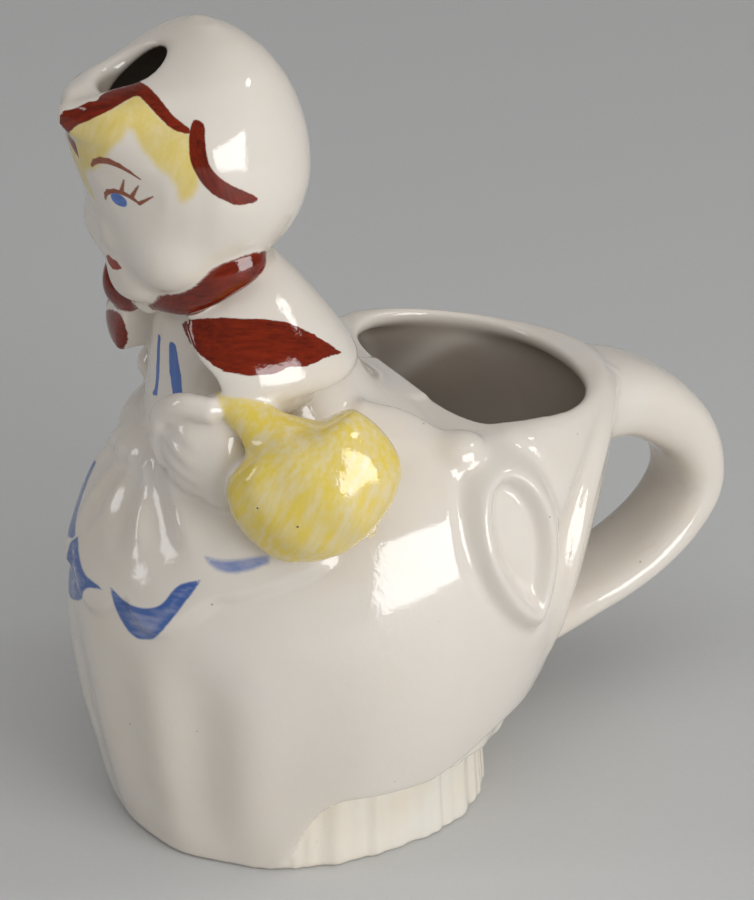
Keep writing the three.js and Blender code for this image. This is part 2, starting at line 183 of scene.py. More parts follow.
# Levels of the figure: height, then front, rear and half width of the oval
SKIRT = [
    (0, -25.4, 28.3, 38.4), (4.4, -27, 29.4, 41.2), (10.3, -28.8, 30.7, 44.6), (17.6, -30.4, 35, 48.4),
    (25, -31.3, 38.7, 50.3), (32.4, -30.7, 41.5, 50), (39.7, -27.5, 44, 47.3), (44.9, -22.8, 45.2, 43.5),
    (48.5, -17.5, 45.5, 38.9), (50.4, -10.8, 45.2, 35.1),
]
BODICE = [
    (45.6, -18.3, 9.2, 27), (50, -20.4, 9, 25.7), (53.7, -20.8, 8.7, 23), (57.4, -20.4, 6.7, 20.9),
    (61.8, -20.2, 2.2, 20.9), (66.2, -19.8, -1.2, 18.9), (69.9, -18.8, -3.6, 16.2), (72.1, -18.3, -6.2, 12.6),
    (74.3, -18, -7, 11.6),
]
CAPE = [
    (59.9, -23.8, 4.7, 29.2), (61.8, -24.2, 3.8, 29.2), (64.7, -23.7, 1.7, 27), (67.6, -22.3, -0.7, 23),
    (70.2, -20.7, -3, 18.6), (72.4, -18.7, -5.3, 13.8),
]
# The front of the cape is open under the kerchief knot, further on her left: x, z
CAPE_GAP = [(12, 76), (-3.5, 76), (-4, 68), (-5.5, 64), (-9, 58), (27, 58), (22.2, 63), (16.8, 65.3), (12.8, 67.3)]
HEAD = [
    (68.8, -23.6, -15, 5.6), (69.7, -24.6, -12.4, 9.4), (71.1, -25.2, -9.4, 12), (73.5, -26.1, -6.6, 16.2),
    (77.2, -27.3, -2.8, 22), (81.6, -29, -0.7, 24.9), (86, -30.7, -0.5, 25.1), (89.7, -31, -1.4, 23.9),
    (94.1, -25.5, -3.8, 19.7), (97.1, -20.5, -6.7, 14.6), (99, -16.5, -9.7, 8.6), (100, -14.3, -12.2, 3.4),
]

POURING_HOLE = (-2, -23.2, 96.6), (6.3, 5, 4.8)  # its middle, then its radii

# Paths: x, y, z, then half width and half thickness
LIP = [(0, -20.8, 91.6, 8.1, 4.4), (0, -25, 91.8, 7.6, 3.7), (0, -29.2, 91.9, 5.9, 2.7),
       (0, -31.4, 92.1, 3.6, 2.4), (0, -32.3, 92.2, 1.6, 1.9)]
LIP_CHANNEL = [(-1.6, -25, 96.9, 2.7, 0), (-0.6, -28.6, 96.2, 2.2, 0), (0, -32, 95.8, 1.8, 0),
               (0, -35, 95.5, 1.5, 0)]
HANDLE = [
    (0, 39.2, 42.1, 8.8, 4.9), (0, 45.4, 41.9, 7.8, 5), (0, 51.2, 40.6, 6.9, 4.7), (0, 56.2, 37.9, 6.5, 4.4),
    (0, 60.2, 34.4, 6.2, 3.8), (0, 62.2, 30.3, 6.1, 3.3), (0, 62.2, 26.2, 6, 2.9), (0, 59.2, 22.3, 6, 2.6),
    (0, 54.7, 19.3, 6.2, 2.4), (0, 49.3, 17.1, 6.3, 2.4), (0, 43.3, 15.7, 6.6, 2.5), (0, 36.7, 14.6, 7.2, 2.9),
    (0, 29.2, 13.8, 7.9, 3.2),
]
KERCHIEF = [(1.5, -21.6, 68.5, 0.9, 0.9), (6.6, -21.6, 69.6, 1.7, 1.4), (12.4, -20.7, 71.4, 2.6, 1.7),
            (18, -17.9, 73.7, 2.7, 1.8), (19.4, -13.4, 75, 2, 1.6), (12.5, -10.6, 73.6, 0.9, 0.9)]
# its other leaf hangs lower
KERCHIEF_LOW = [(-1.5, -21.6, 68.2, 0.9, 0.9), (-6.8, -22.6, 67.4, 1.9, 1.4), (-12.6, -22.2, 67.8, 2.4, 1.7),
                (-17.6, -18.2, 70, 2.4, 1.8), (-19.2, -13.4, 73, 1.9, 1.6), (-12.5, -10.6, 73.2, 0.9, 0.9)]
LEFT_ARM = [(21.6, -7.5, 60.3, 3.2, 3.1), (22.7, -11.7, 59.6, 3.2, 3.1), (22.2, -16.3, 58.2, 3, 2.9),
            (18.9, -19.7, 56.6, 2.8, 2.6)]
RIGHT_ARM = [(-20.5, -3.7, 61, 3.1, 2.9), (-23, -4.5, 58.8, 3.2, 3.1), (-24.9, -5.8, 56.6, 2.9, 2.8),
             (-25.9, -8.3, 54.1, 2.6, 2.5)]
THUMB = [(24, -20.6, 59.4, 1.5, 1.4), (18.6, -23.2, 59.4, 1.5, 1.4), (13.2, -24.3, 57.2, 1.5, 1.3),
         (11, -24, 53.6, 1.3, 1.2), (12.6, -24, 51, 1, 0.9)]
BAG = [(22.9, -19, 60.3, 1.5, 1), (25.6, -17.6, 59.4, 1.9, 1.5), (29.3, -16.2, 58.1, 2.5, 2),
       (32.2, -15, 56.6, 4, 3.1), (34.8, -14, 54.6, 8.5, 5.5), (37.6, -11.5, 52.1, 9.8, 6.4),
       (41, -8.3, 49.1, 9.1, 6), (43.1, -6.2, 46.9, 6.2, 4.4), (43.9, -5.3, 46, 1.8, 1.5)]
SASH_LEAF = [(33.4, 10.6, 49.4, 1.4, 1.2), (30.2, 7.2, 50.8, 3, 1.1), (26, 4, 52.4, 3.1, 1.1),
             (21.6, 1.4, 54, 1.4, 1)]

# Patches of paint, drawn across a plane that faces her left and above: along it, then up it, in millimetres.
# The other side of her is painted the same way, but for the patches in front.
ALONG = np.array([0.5, 0.866, 0])
UPWARD = np.array([-0.3932, 0.2270, 0.8910])
TOWARD = np.array([0.7716, -0.4455, 0.4540])
PATCHES = {
    "band": [(-35.6, 103.2), (-32.1, 103.9), (-28.8, 105.7), (-26.6, 107.8), (-24.3, 108.6), (-21.5, 106.9),
             (-19.6, 104.8), (-17.6, 102.3), (-15.4, 100.6), (-15.5, 99.8), (-17.5, 100.3), (-19, 101.4),
             (-21, 103.5), (-23, 105.6), (-25, 104.7), (-26.9, 103.5), (-30.1, 102), (-32.4, 101.1),
             (-35.2, 98.8), (-36.6, 101)],
    "tie": [(-14.5, 102), (-13.3, 101.2), (-13.1, 99), (-12.9, 96.8), (-12.3, 95), (-11, 93.5), (-9.2, 92.4),
            (-6.3, 91.2), (-5.4, 90.6), (-5.9, 90.1), (-8.6, 89.6), (-10.3, 90.2), (-12.2, 91.2), (-13.6, 92.6),
            (-14.6, 94.2), (-15.3, 96), (-15.5, 98.2), (-15.4, 100.4), (-15, 101.6)],
    "cape": [(-17.5, 72.9), (-16, 73.2), (-13.3, 73.3), (-9.9, 73.4), (-6.4, 73.2), (-3.9, 73.1), (-1.4, 72.7),
             (0.6, 72), (2.5, 71.1), (4.8, 69.7), (7.1, 68.2), (4.7, 67.6), (1.7, 66.2), (-1.3, 65.9),
             (-3.5, 64.9), (-6.5, 64.7), (-8.7, 64.9), (-11, 65.4), (-13.4, 67), (-14.7, 68.1), (-16, 69.6),
             (-17.1, 71.6)],
    "hair": [(-36, 99.6), (-32.4, 101.5), (-30.1, 102.4), (-26.9, 103.6), (-25, 104.8), (-23.2, 106), (-21, 103.7),
             (-19, 101.6), (-15.7, 100), (-14.9, 97.4), (-14.4, 95.3), (-14.1, 93.1), (-14.4, 91.8), (-15.4, 90.6),
             (-16.8, 89.9), (-17.2, 91), (-17.5, 92.4), (-18.3, 93.5), (-19.3, 94.3), (-20.5, 95.3),
             (-21.3, 96.5), (-22.4, 97.9), (-23.9, 100.2), (-24.6, 100.8), (-25.4, 99.1), (-27, 97.7),
             (-28.3, 96), (-29.6, 95.2), (-31.3, 94.9), (-33.2, 94.9), (-36, 95.5)],
    "scallop": [(-29.0, 32.3), (-27.9, 31.2), (-26.8, 30.2), (-25.7, 29.6), (-24.3, 29.2), (-23.0, 29.1),
                (-21.6, 29.4), (-20.4, 30.2), (-19.5, 31.3), (-18.7, 32.2), (-17.8, 32.9), (-16.4, 33.3),
                (-14.6, 33.6), (-15.6, 32.2), (-16.4, 31.1), (-17.4, 29.8), (-18.4, 28.5), (-19.6, 27.0),
                (-20.7, 25.7), (-21.5, 24.9), (-22.3, 24.3), (-23.5, 24.2), (-24.7, 24.3), (-26.0, 25.2),
                (-26.9, 26.4), (-27.7, 27.8), (-28.3, 29.2), (-28.7, 30.8)],
    "cape_front": [(-33, 74.9), (-30.4, 75.1), (-28.8, 75.2), (-27.2, 74.4), (-26.3, 72.5), (-26.1, 70.6),
                   (-26.9, 68.9), (-28.3, 68.2), (-29.8, 69.1), (-31, 70.4), (-33, 70.6)],
    "front_scallop": [(-34.6, 39.9), (-34.3, 36.7), (-33.3, 34.1), (-31.8, 32.9), (-30.1, 31.8),
                      (-32.5, 32.0), (-33.5, 31.4), (-33.9, 30.2), (-35.0, 29.7), (-36.5, 30.2),
                      (-37.1, 34.0), (-36.1, 38.8)],
    "apron_edge": [(-31.9, 51.6), (-33.2, 49), (-34.3, 46), (-35.1, 42.4), (-35.2, 39.7), (-36.6, 39.7),
                   (-36.6, 42.6), (-35.6, 46.4), (-34.2, 49.6), (-32.6, 51.9)],
    "side_scallop": [(-14.0, 37.2), (-12.6, 36.8), (-11.1, 36.6), (-8.3, 36.8), (-6.2, 37.2), (-4.3, 37.3),
                     (-4.3, 36.3), (-5.9, 35.6), (-7.6, 35.1), (-9.7, 34.7), (-11.8, 35.1), (-13.3, 36.1)],
}
ONE_SIDED = ("cape_front", "scallop", "front_scallop", "apron_edge")
LOWER_THERE, LOWERED = ("band", "hair", "cape"), 4.5  # painted lower on her other side
LEAST_FACING = {"one": 0.14, "both": -0.15}  # how far the skin may turn from the plane and still be painted

# Forms that the skin is parted into
FORMS = ["skirt", "lining", "handle", "bust", "head", "kerchief", "bag", "apron", "sash", "petticoat"]
SKIRT_F, LINING_F, HANDLE_F, BUST_F, HEAD_F, KERCHIEF_F, BAG_F, APRON_F, SASH_F, PETTICOAT_F = range(len(FORMS))


# Clay


def smooth(value, low, high):
    t = np.clip((value - low) / (high - low), 0, 1)
    return t * t * (3 - 2 * t)


def soft_min(a, b, blend):
    """The lower of two values, with a rounded corner where they meet."""
    h = np.maximum(blend - np.abs(a - b), 0) / blend
    return np.minimum(a, b) - h * h * h * blend / 6


def soft_max(a, b, blend):
    h = np.maximum(blend - np.abs(a - b), 0) / blend
    return np.maximum(a, b) + h * h * h * blend / 6


def squared(u, v, power):
    """One on an oval with squarer corners, less inside it."""
    return (np.abs(u) ** power + np.abs(v) ** power) ** (1 / power) + 1e-4


def follow(rows, at):
    """Smooth values between the rows of a table whose first column rises."""
    key = rows[:, 0]
    slope = np.gradient(rows[:, 1:], key, axis=0)
    k = np.clip(np.searchsorted(key, at) - 1, 0, len(key) - 2)
    span = key[k + 1] - key[k]
    t = np.clip((at - key[k]) / span, 0, 1)[..., None]
    span = span[..., None]
    low, high = rows[k, 1:], rows[k + 1, 1:]
    bend = (t**3 - 2 * t**2 + t) * slope[k] * span + (t**3 - t**2) * slope[k + 1] * span
    made = (2 * t**3 - 3 * t**2 + 1) * low + (3 * t**2 - 2 * t**3) * high + bend
    return [made[..., i].astype(np.float32) for i in range(made.shape[-1])]


def path_points(stops, count=48):
    """Points of a smooth path through the stops, with all their columns."""
    keys = np.arange(len(stops), dtype=float)
    rows = np.column_stack([keys, stops])
    return np.stack(follow(rows, np.linspace(0, len(stops) - 1, count)), -1).astype(float)


def oval(x, y, front, rear, half, grow=0.0):
    """How far a point is outside an oval."""
    u = x / (half + grow)
    depth = (rear - front) / 2 + grow
    v = (y - (front + rear) / 2) / depth
    r = np.sqrt(u * u + v * v) + 1e-6
    return r * (r - 1) / (np.sqrt((u / (half + grow)) ** 2 + (v / depth) ** 2) + 1e-6)


def even(values, step):
    """Scales values so that they grow by one for each millimetre."""
    gx, gy, gz = np.gradient(values, step)
    return values / np.clip(np.sqrt(gx * gx + gy * gy + gz * gz), 0.5, 4)


def outline_distance(corners, u, v):
    """How far points of a plane are outside a closed outline."""
    best = np.full(np.broadcast(u, v).shape, 1e9, np.float32)
    inside = np.zeros(best.shape, bool)
    for (au, av), (bu, bv) in zip(corners, np.roll(corners, -1, 0)):
        du, dv = bu - au, bv - av
        t = np.clip(((u - au) * du + (v - av) * dv) / (du * du + dv * dv + 1e-9), 0, 1)
        best = np.minimum(best, (u - au - t * du) ** 2 + (v - av - t * dv) ** 2)
        if abs(dv) > 1e-9:
            inside ^= ((av > v) != (bv > v)) & (u < (v - av) / dv * du + au)
    return np.where(inside, -1, 1) * np.sqrt(best)


def rounded(corners, steps=4):
    """A closed outline drawn as curves through its corners; sharp tips stay sharp."""
    after, before = np.roll(corners, -1, 0), np.roll(corners, 1, 0)
    run, came = after - corners, corners - before
    unit = lambda v: v / np.linalg.norm(v, axis=1, keepdims=True)
    ease = np.clip((unit(run) * unit(came)).sum(1) + 0.3, 0, 1)[:, None]
    lead = (after - before) / 2 * ease
    length = np.linalg.norm(run, axis=1, keepdims=True)
    limit = lambda v: v * np.minimum(1, length / np.maximum(np.linalg.norm(v, axis=1, keepdims=True), 1e-6))
    leave, arrive = limit(lead), limit(np.roll(lead, -1, 0))
    t = np.linspace(0, 1, steps, endpoint=False)[:, None, None]
    made = ((2 * t**3 - 3 * t**2 + 1) * corners + (t**3 - 2 * t**2 + t) * leave
            + (3 * t**2 - 2 * t**3) * after + (t**3 - t**2) * arrive)
    return made.transpose(1, 0, 2).reshape(-1, 2)


class Clay:
    """A block of cells: how far each is outside the clay, and which form it shows."""

    def __init__(self, low, high, step):
        self.low, self.step = np.array(low, float), step
        axes = [np.arange(a, b + step, step, dtype=np.float32) for a, b in zip(low, high)]
        self.x, self.y, self.z = np.ix_(*axes)
        self.value = np.full([len(a) for a in axes], 30, np.float32)
        self.form = np.zeros(self.value.shape, np.int8)
        self.marks = {}

    def region(self, low, high):
        """The part of the block between two corners."""
        cut = []
        for i in range(3):
            first = max(int((low[i] - self.low[i]) / self.step), 0)
            last = min(int((high[i] - self.low[i]) / self.step) + 2, self.value.shape[i])
            cut.append(slice(first, last))
        a, b, c = cut
        return (a, b, c), self.x[a], self.y[:, b], self.z[:, :, c]

    def add(self, where, d, blend, form):
        old = self.value[where]
        self.form[where] = np.where(d < old, form, self.form[where])
        self.value[where] = soft_min(old, d, blend)

    def cut(self, where, d, blend, form=None):
        """Takes away what is inside d."""
        old = self.value[where]
        if form is not None:
            self.form[where] = np.where(-d > old, form, self.form[where])
        self.value[where] = soft_max(old, -d, blend)

    def ball(self, centre, radii, blend, form):
        reach = np.array(radii) + blend + 2
        where, x, y, z = self.region(centre - reach, centre + reach)
        u, v, w = ((p - c) / r for p, c, r in zip((x, y, z), centre, radii))
        r = np.sqrt(u * u + v * v + w * w) + 1e-6
        g = np.sqrt((u / radii[0]) ** 2 + (v / radii[1]) ** 2 + (w / radii[2]) ** 2) + 1e-6
        self.add(where, r * (r - 1) / g, blend, form)

    def near(self, points, reach):
        """For the cells near a path: where they are, the place along it and the squared distance."""
        where, x, y, z = self.region(points[:, :3].min(0) - reach, points[:, :3].max(0) + reach)
        best = np.full(self.value[where].shape, 1e9, np.float32)
        place = np.zeros(best.shape, np.float32)
        for k in range(len(points) - 1):
            a, ab = points[k, :3], points[k + 1, :3] - points[k, :3]
            px, py, pz = x - a[0], y - a[1], z - a[2]
            t = np.clip((px * ab[0] + py * ab[1] + pz * ab[2]) / (ab @ ab + 1e-12), 0, 1)
            d = (px - t * ab[0]) ** 2 + (py - t * ab[1]) ** 2 + (pz - t * ab[2]) ** 2
            closer = d < best
            best = np.where(closer, d, best)
            place = np.where(closer, k + t, place)
        return where, (x, y, z), place, best

    def mark(self, name, where, d):
        """Remembers how far cells are from a form, to paint it later."""
        marked = self.marks.setdefault(name, np.full(self.value.shape, FAR, np.float32))
        marked[where] = np.minimum(marked[where], d)

    def strap(self, stops, across, blend, form, power=2.0, ripple=None, mark=None, bare=1.0):
        """Lays a strap along a path; its width follows the direction across. Paint on it stops at the bare share."""
        points = path_points(stops)
        along = np.gradient(points[:, :3], axis=0)
        along /= np.linalg.norm(along, axis=1, keepdims=True)
        across = np.array(across, float)
        side = across - along * (along @ across)[:, None]
        side /= np.linalg.norm(side, axis=1, keepdims=True)
        out = np.cross(along, side)
        where, at, place, _ = self.near(points, points[:, 3:].max() + blend + 2)
        keys = np.arange(len(points))
        column = lambda values: np.interp(place, keys, values).astype(np.float32)
        off = [p - column(points[:, i]) for i, p in enumerate(at)]
        along_it, u, v = (sum(o * column(axis[:, i]) for i, o in enumerate(off)) for axis in (along, side, out))
        half, thick = column(points[:, 3]), column(points[:, 4])
        if ripple is not None:
            swell = ripple(np.arctan2(v / thick, u / half), place / keys[-1])
            half, thick = half + swell, thick + swell
        if power == 2.0:
            d = oval(u, v, -thick, thick, half)
        else:
            r = squared(u / half, v / thick, power)
            rad = np.sqrt(u * u + v * v)
            d = np.where(r > 0.3, rad - rad / r, -np.minimum(half, thick) * 0.7)
        end = np.where((place <= 0) | (place >= keys[-1]), np.abs(along_it), 0)
        d = np.where(d > 0, np.sqrt(d * d + end * end), d + end)
        if mark:
            self.mark(mark, where, np.maximum(d, (place / keys[-1] - bare) * 20))
        self.add(where, d, blend, form)

    def crease(self, points, width, height):
        """Raises a soft ridge along a path, or presses a groove where the height is negative."""
        stops = np.array(points, float)
        line = path_points(stops, 24)
        where, _, place, best = self.near(line, width * 2.6)
        fade = np.sin(np.clip(place / (len(line) - 1), 0.02, 0.98) * math.pi) ** 0.5
        self.value[where] -= height * fade * np.exp(-best / width**2)

    def soften(self, times):
        for _ in range(times):
            for axis in range(3):
                v = np.swapaxes(self.value, 0, axis)
                v[1:-1] = v[1:-1] * 0.5 + (v[:-2] + v[2:]) * 0.25


def sample(grid, points):
    """Values between the cells of a grid, at points in cell units."""
    points = np.clip(points, 0, np.array(grid.shape) - 1.001)
    cell = points.astype(int)
    t = (points - cell).astype(np.float32)
    total = np.zeros(len(points), np.float32)
    for corner in range(8):
        bits = np.array([corner & 1, corner >> 1 & 1, corner >> 2])
        weight = np.prod(np.where(bits, t, 1 - t), axis=1)
        at = cell + bits
        total += weight * grid[at[:, 0], at[:, 1], at[:, 2]]
    return total


def slope_at(grid, points):
    made = np.empty((len(points), 3), np.float32)
    for i in range(3):
        step = np.zeros(3)
        step[i] = 1
        made[:, i] = (sample(grid, points + step) - sample(grid, points - step)) / 2
    return made


def draw_skin(clay):
    """The skin where the values cross zero: its points in millimetres, its four-sided faces and normals."""
    v = clay.value
    cells = tuple(n - 1 for n in v.shape)
    corner = lambda i, j, k: v[i : i + cells[0], j : j + cells[1], k : k + cells[2]]
    inside = sum((corner(i, j, k) < 0).astype(np.int8) for i in (0, 1) for j in (0, 1) for k in (0, 1))
    crossed = (inside > 0) & (inside < 8)
    index = np.argwhere(crossed)
    total, count = np.zeros((len(index), 3), np.float32), np.zeros(len(index), np.float32)
    at = {b: v[index[:, 0] + b[0], index[:, 1] + b[1], index[:, 2] + b[2]]
          for b in ((i, j, k) for i in (0, 1) for j in (0, 1) for k in (0, 1))}
    for a in at:
        for axis in range(3):
            if a[axis]:
                continue
            b = tuple(1 if i == axis else a[i] for i in range(3))
            va, vb = at[a], at[b]
            hit = (va < 0) != (vb < 0)
            t = np.where(hit, va / np.where(hit, va - vb, 1), 0)
            place = np.array(a, np.float32) + t[:, None] * (np.array(b) - np.array(a))
            total += place * hit[:, None]
            count += hit
    points = index + total / count[:, None]
    number = np.full(cells, -1, np.int64)
    number[crossed] = np.arange(len(index))
    faces = []
    for axis in range(3):
        u, w = (axis + 1) % 3, (axis + 2) % 3
        first = [slice(1, -1)] * 3
        second = list(first)
        first[axis], second[axis] = slice(0, -1), slice(1, None)
        a, b = v[tuple(first)] < 0, v[tuple(second)] < 0
        edge = np.argwhere(a != b)
        edge[:, [u, w]] += 1
        leaving = (a != b) & a
        out = leaving[tuple(np.argwhere(a != b).T)]
        ring = []
        for du, dw in ((-1, -1), (0, -1), (0, 0), (-1, 0)):
            cell = edge.copy()
            cell[:, u] += du
            cell[:, w] += dw
            ring.append(number[tuple(cell.T)])
        ring = np.stack(ring, 1)
        faces.append(np.where(out[:, None], ring, ring[:, ::-1]))
    faces = np.concatenate(faces)
    for _ in range(2):
        slope = slope_at(v, points)
        size = np.maximum((slope**2).sum(1, keepdims=True), 1e-6)
        move = slope * (sample(v, points)[:, None] / size)
        points = points - np.clip(move, -0.3, 0.3)
    slope = slope_at(v, points)
    normals = slope / np.maximum(np.linalg.norm(slope, axis=1, keepdims=True), 1e-9)
    nearest = np.clip(np.rint(points).astype(int), 0, np.array(v.shape) - 1)
    form = clay.form[tuple(nearest.T)]
    return clay.low + points * clay.step, faces, normals, form, points


# Forms of the jug


# Folds of the skirt: height, then degrees from her front and width in degrees; grooves are negative
SKIRT_FOLDS = [(-1.0, 12, 8), (-1.5, 35, 9), (-0.9, 62, 12), (0.5, 24, 6), (0.5, 48, 7)]
# Flares of the hem: the same, then how far up they reach
HEM_FLARES = [(0.7, 57, 12, 14), (0.6, 28, 16, 9)]


def raw_skirt(m, x, y, z, grow=0.0, folds=True):
    """The bell of the skirt, whose rim falls towards the handle."""
    top = m.up(RIM)
    fall = m.up(1.9) * smooth(y, m.back(20), m.back(45)) * smooth(z, m.up(31), top)
    level = z + fall
    front, rear, half = follow(m.levels(SKIRT), level)
    if folds:
        turn = np.degrees(np.arctan2(x / half, ((front + rear) / 2 - y) / ((rear - front) / 2)))
        turn = np.sqrt(turn**2 + 16)
        fade = smooth(z, m.up(-6), m.up(16)) * (1 - smooth(z, m.up(20), m.up(34)))
        for height, middle, width in SKIRT_FOLDS:
            grow = grow + fade * height * np.exp(-((turn - middle) / width) ** 2)
        for height, middle, width, share in HEM_FLARES:
            grow = grow + m.up(height) * (1 - smooth(z, 0, m.up(share))) * np.exp(-((turn - middle) / width) ** 2)
    d = oval(x, y, front, rear, half, grow)
    above = level - top if folds else level - top - grow
    return soft_max(d, above, 3)


def hem_height(m, x, y):
    """The hem rests on the table in front, is lifted at her sides and more behind."""
    turn = np.degrees(np.abs(np.arctan2(x, -y)))
    side = 1 - (1 - np.clip((turn - 55) / 20, 0, 1)) ** 2
    return m.up(10.6) * side + m.up(4.2) * smooth(turn, 97, 127) - 0.4


def lay_skirt(m, clay):
    where, x, y, z = clay.region((-99, -99, -9), (99, 99, m.up(54)))
    d = even(raw_skirt(m, x, y, z), clay.step)
    clay.add(where, d.astype(np.float32), 0.5, SKIRT_F)
    clay.ball(m.place(0, -4.2, 43.4), m.place(31.8, 18.8, 13.6), 9, SKIRT_F)
    # lifted hem
    clay.cut(where, even((z - hem_height(m, x, y)).astype(np.float32), clay.step), 1.6)


def lay_handle(m, clay):
    clay.strap(m.stops(HANDLE), (1, 0, 0), 5, HANDLE_F, power=2.6)


def tube(m, x, y, z, rows, grow=0.0, below=0.0, above=0.0):
    """A stack of ovals, which ends this far under its lowest level and short of its highest."""
    levels = m.levels(rows)
    front, rear, half = follow(levels, z)
    ends = np.maximum(levels[0, 0] - below - z, z - levels[-1, 0] + above)
    return np.maximum(oval(x, y, front, rear, half, grow), ends)


def lay_bodice(m, clay):
    where, *at = clay.region((-30, -40, m.up(45)), (30, 25, m.up(76)))
    clay.add(where, even(tube(m, *at, BODICE), clay.step), 4, BUST_F)


def lay_cape(m, clay):
    levels = m.levels(CAPE)
    where, x, y, z = clay.region((-34, -45, m.up(56)), (34, 25, m.up(76)))
    front, rear, half = follow(levels, z)
    depth, middle = (rear - front) / 2, (front + rear) / 2
    r = squared(x / half, (y - middle) / depth, 2.5)
    rad = np.sqrt(x * x + (y - middle) ** 2)
    d = np.maximum(rad - rad / r, np.maximum(levels[0, 0] - z, z - levels[-1, 0]))
    d = even(d.astype(np.float32), clay.step)
    gap = np.array([(m.aside(u), m.up(v)) for u, v in CAPE_GAP])
    opening = np.maximum(outline_distance(gap, x[:, 0, :], z[0, 0, :][None, :])[:, None, :], y + m.back(10))
    clay.add(where, soft_max(d, -opening, 1.5).astype(np.float32), 1.2, BUST_F)


def lay_head(m, clay):
    where, *at = clay.region((-30, -50, m.up(64)), (30, 12, m.up(102)))
    clay.add(where, even(tube(m, *at, HEAD), clay.step), 1.8, HEAD_F)
    clay.strap(m.stops(LIP), (1, 0, 0), 3, HEAD_F, power=3)
    clay.ball(m.place(0, -26.1, 77.3), m.place(2.3, 1.7, 2.0), 2.6, HEAD_F)  # nose
    clay.ball(m.place(0, -23.6, 71), m.place(7, 2.8, 2.1), 4, HEAD_F)  # chin
    for side in (-1, 1):
        clay.ball(m.place(10.5 * side, -21.6, 76), m.place(8.6, 4.8, 4), 6, HEAD_F)  # cheek
        clay.crease([m.place(6 * side, -28.6, 83.6), m.place(13 * side, -27.4, 84.6), m.place(18 * side, -24.6, 84)],
                    4.2, -0.8)  # eye
    clay.crease([m.place(-5, -26, 72.6), m.place(0, -26.4, 73), m.place(5, -26, 72.6)], 1.6, 0.55)  # mouth
    clay.crease([m.place(-4, -25.6, 71), m.place(0, -25.8, 71), m.place(4, -25.6, 71)], 1.2, -0.35)


def lay_bonnet_edge(m, clay):
    """The bonnet stands a little proud of the face."""
    for side in (-1, 1):
        edge = [m.place(11.6 * side, -25.4, 96), m.place(16 * side, -23.4, 93.4), m.place(20 * side, -22, 90.6),
                m.place(22.8 * side, -21.6, 86.5), m.place(23.2 * side, -21.6, 81), m.place(20.6 * side, -21.4, 76)]
        clay.crease(edge, 1.6, -0.22)
        behind = [p + np.array([0.6 * side, 2.6, 0.6]) for p in edge]
        clay.crease(behind, 2.4, 0.2)


def lay_arms(m, clay):
    clay.strap(m.stops(LEFT_ARM), (0, 0, 1), 1.6, BUST_F)
    clay.ball(m.place(17.3, -20.4, 53.2), m.place(8.3, 4.6, 5.6), 2.0, BUST_F)
    clay.ball(m.place(23, -18.8, 52.2), m.place(6, 3.8, 5.4), 2.5, BUST_F)
    clay.strap(m.stops(THUMB), (0, 0, 1), 1.0, BUST_F)
    clay.strap(m.stops(RIGHT_ARM), (0, 1, 0), 1.6, BUST_F)
    clay.ball(m.place(-26.5, -10.3, 52.2), m.place(5.1, 4.7, 2.9), 1.8, BUST_F)
    # fingers of the fist
    for z in (56.4, 54.1, 51.8):
        clay.crease([m.place(14.5, -24.6, z), m.place(18.5, -24.9, z - 0.8), m.place(23, -22.6, z - 2.2)], 0.8, -0.8)


def lay_bag(m, clay):
    lobes = 9

    def ripple(turn, along):
        return -0.13 * smooth(along, 0.3, 0.5) * (1 - np.cos(turn * lobes))

    clay.strap(m.stops(BAG), (0.5, 0.87, 0), 1.0, BAG_F, ripple=ripple, mark="bag")


def lay_kerchief(m, clay):
    for rows in (KERCHIEF, KERCHIEF_LOW):
        clay.strap(m.stops(rows), (0, 0, 1), 1, KERCHIEF_F, mark="leaf", bare=0.93)
    clay.ball(m.place(0, -21.8, 68), m.place(4.2, 1.8, 1.5), 1.2, KERCHIEF_F)


SCALLOPS = [((0, 30.7), (6.2, 31), (11.9, 34.3)), ((11.9, 34.3), (20.3, 27.8), (29.7, 37.1)),
            ((29.7, 37.1), (37, 37.6), (44.6, 44.1))]
APRON_SIDE = [(44.6, 44.1), (32.4, 50), (18.9, 54.4), (5.4, 55.9)]


# Where each fold of the apron ends, its width and its height; grooves are negative
APRON_FOLDS = [
    (-4, -28.4, 40.6, 2, 1.2), (10.6, -28.4, 40.4, 2.1, 1.3), (24, -23.7, 41.6, 2.4, 1),
    (3.6, -28.8, 40.4, 1.7, -1.1), (17.5, -26.4, 41, 2.1, -1), (-15, -28, 38.5, 1.9, 1.1),
    (-26, -23.7, 39.5, 2.2, 1), (-9.5, -28.6, 38.8, 1.6, -0.9),
]


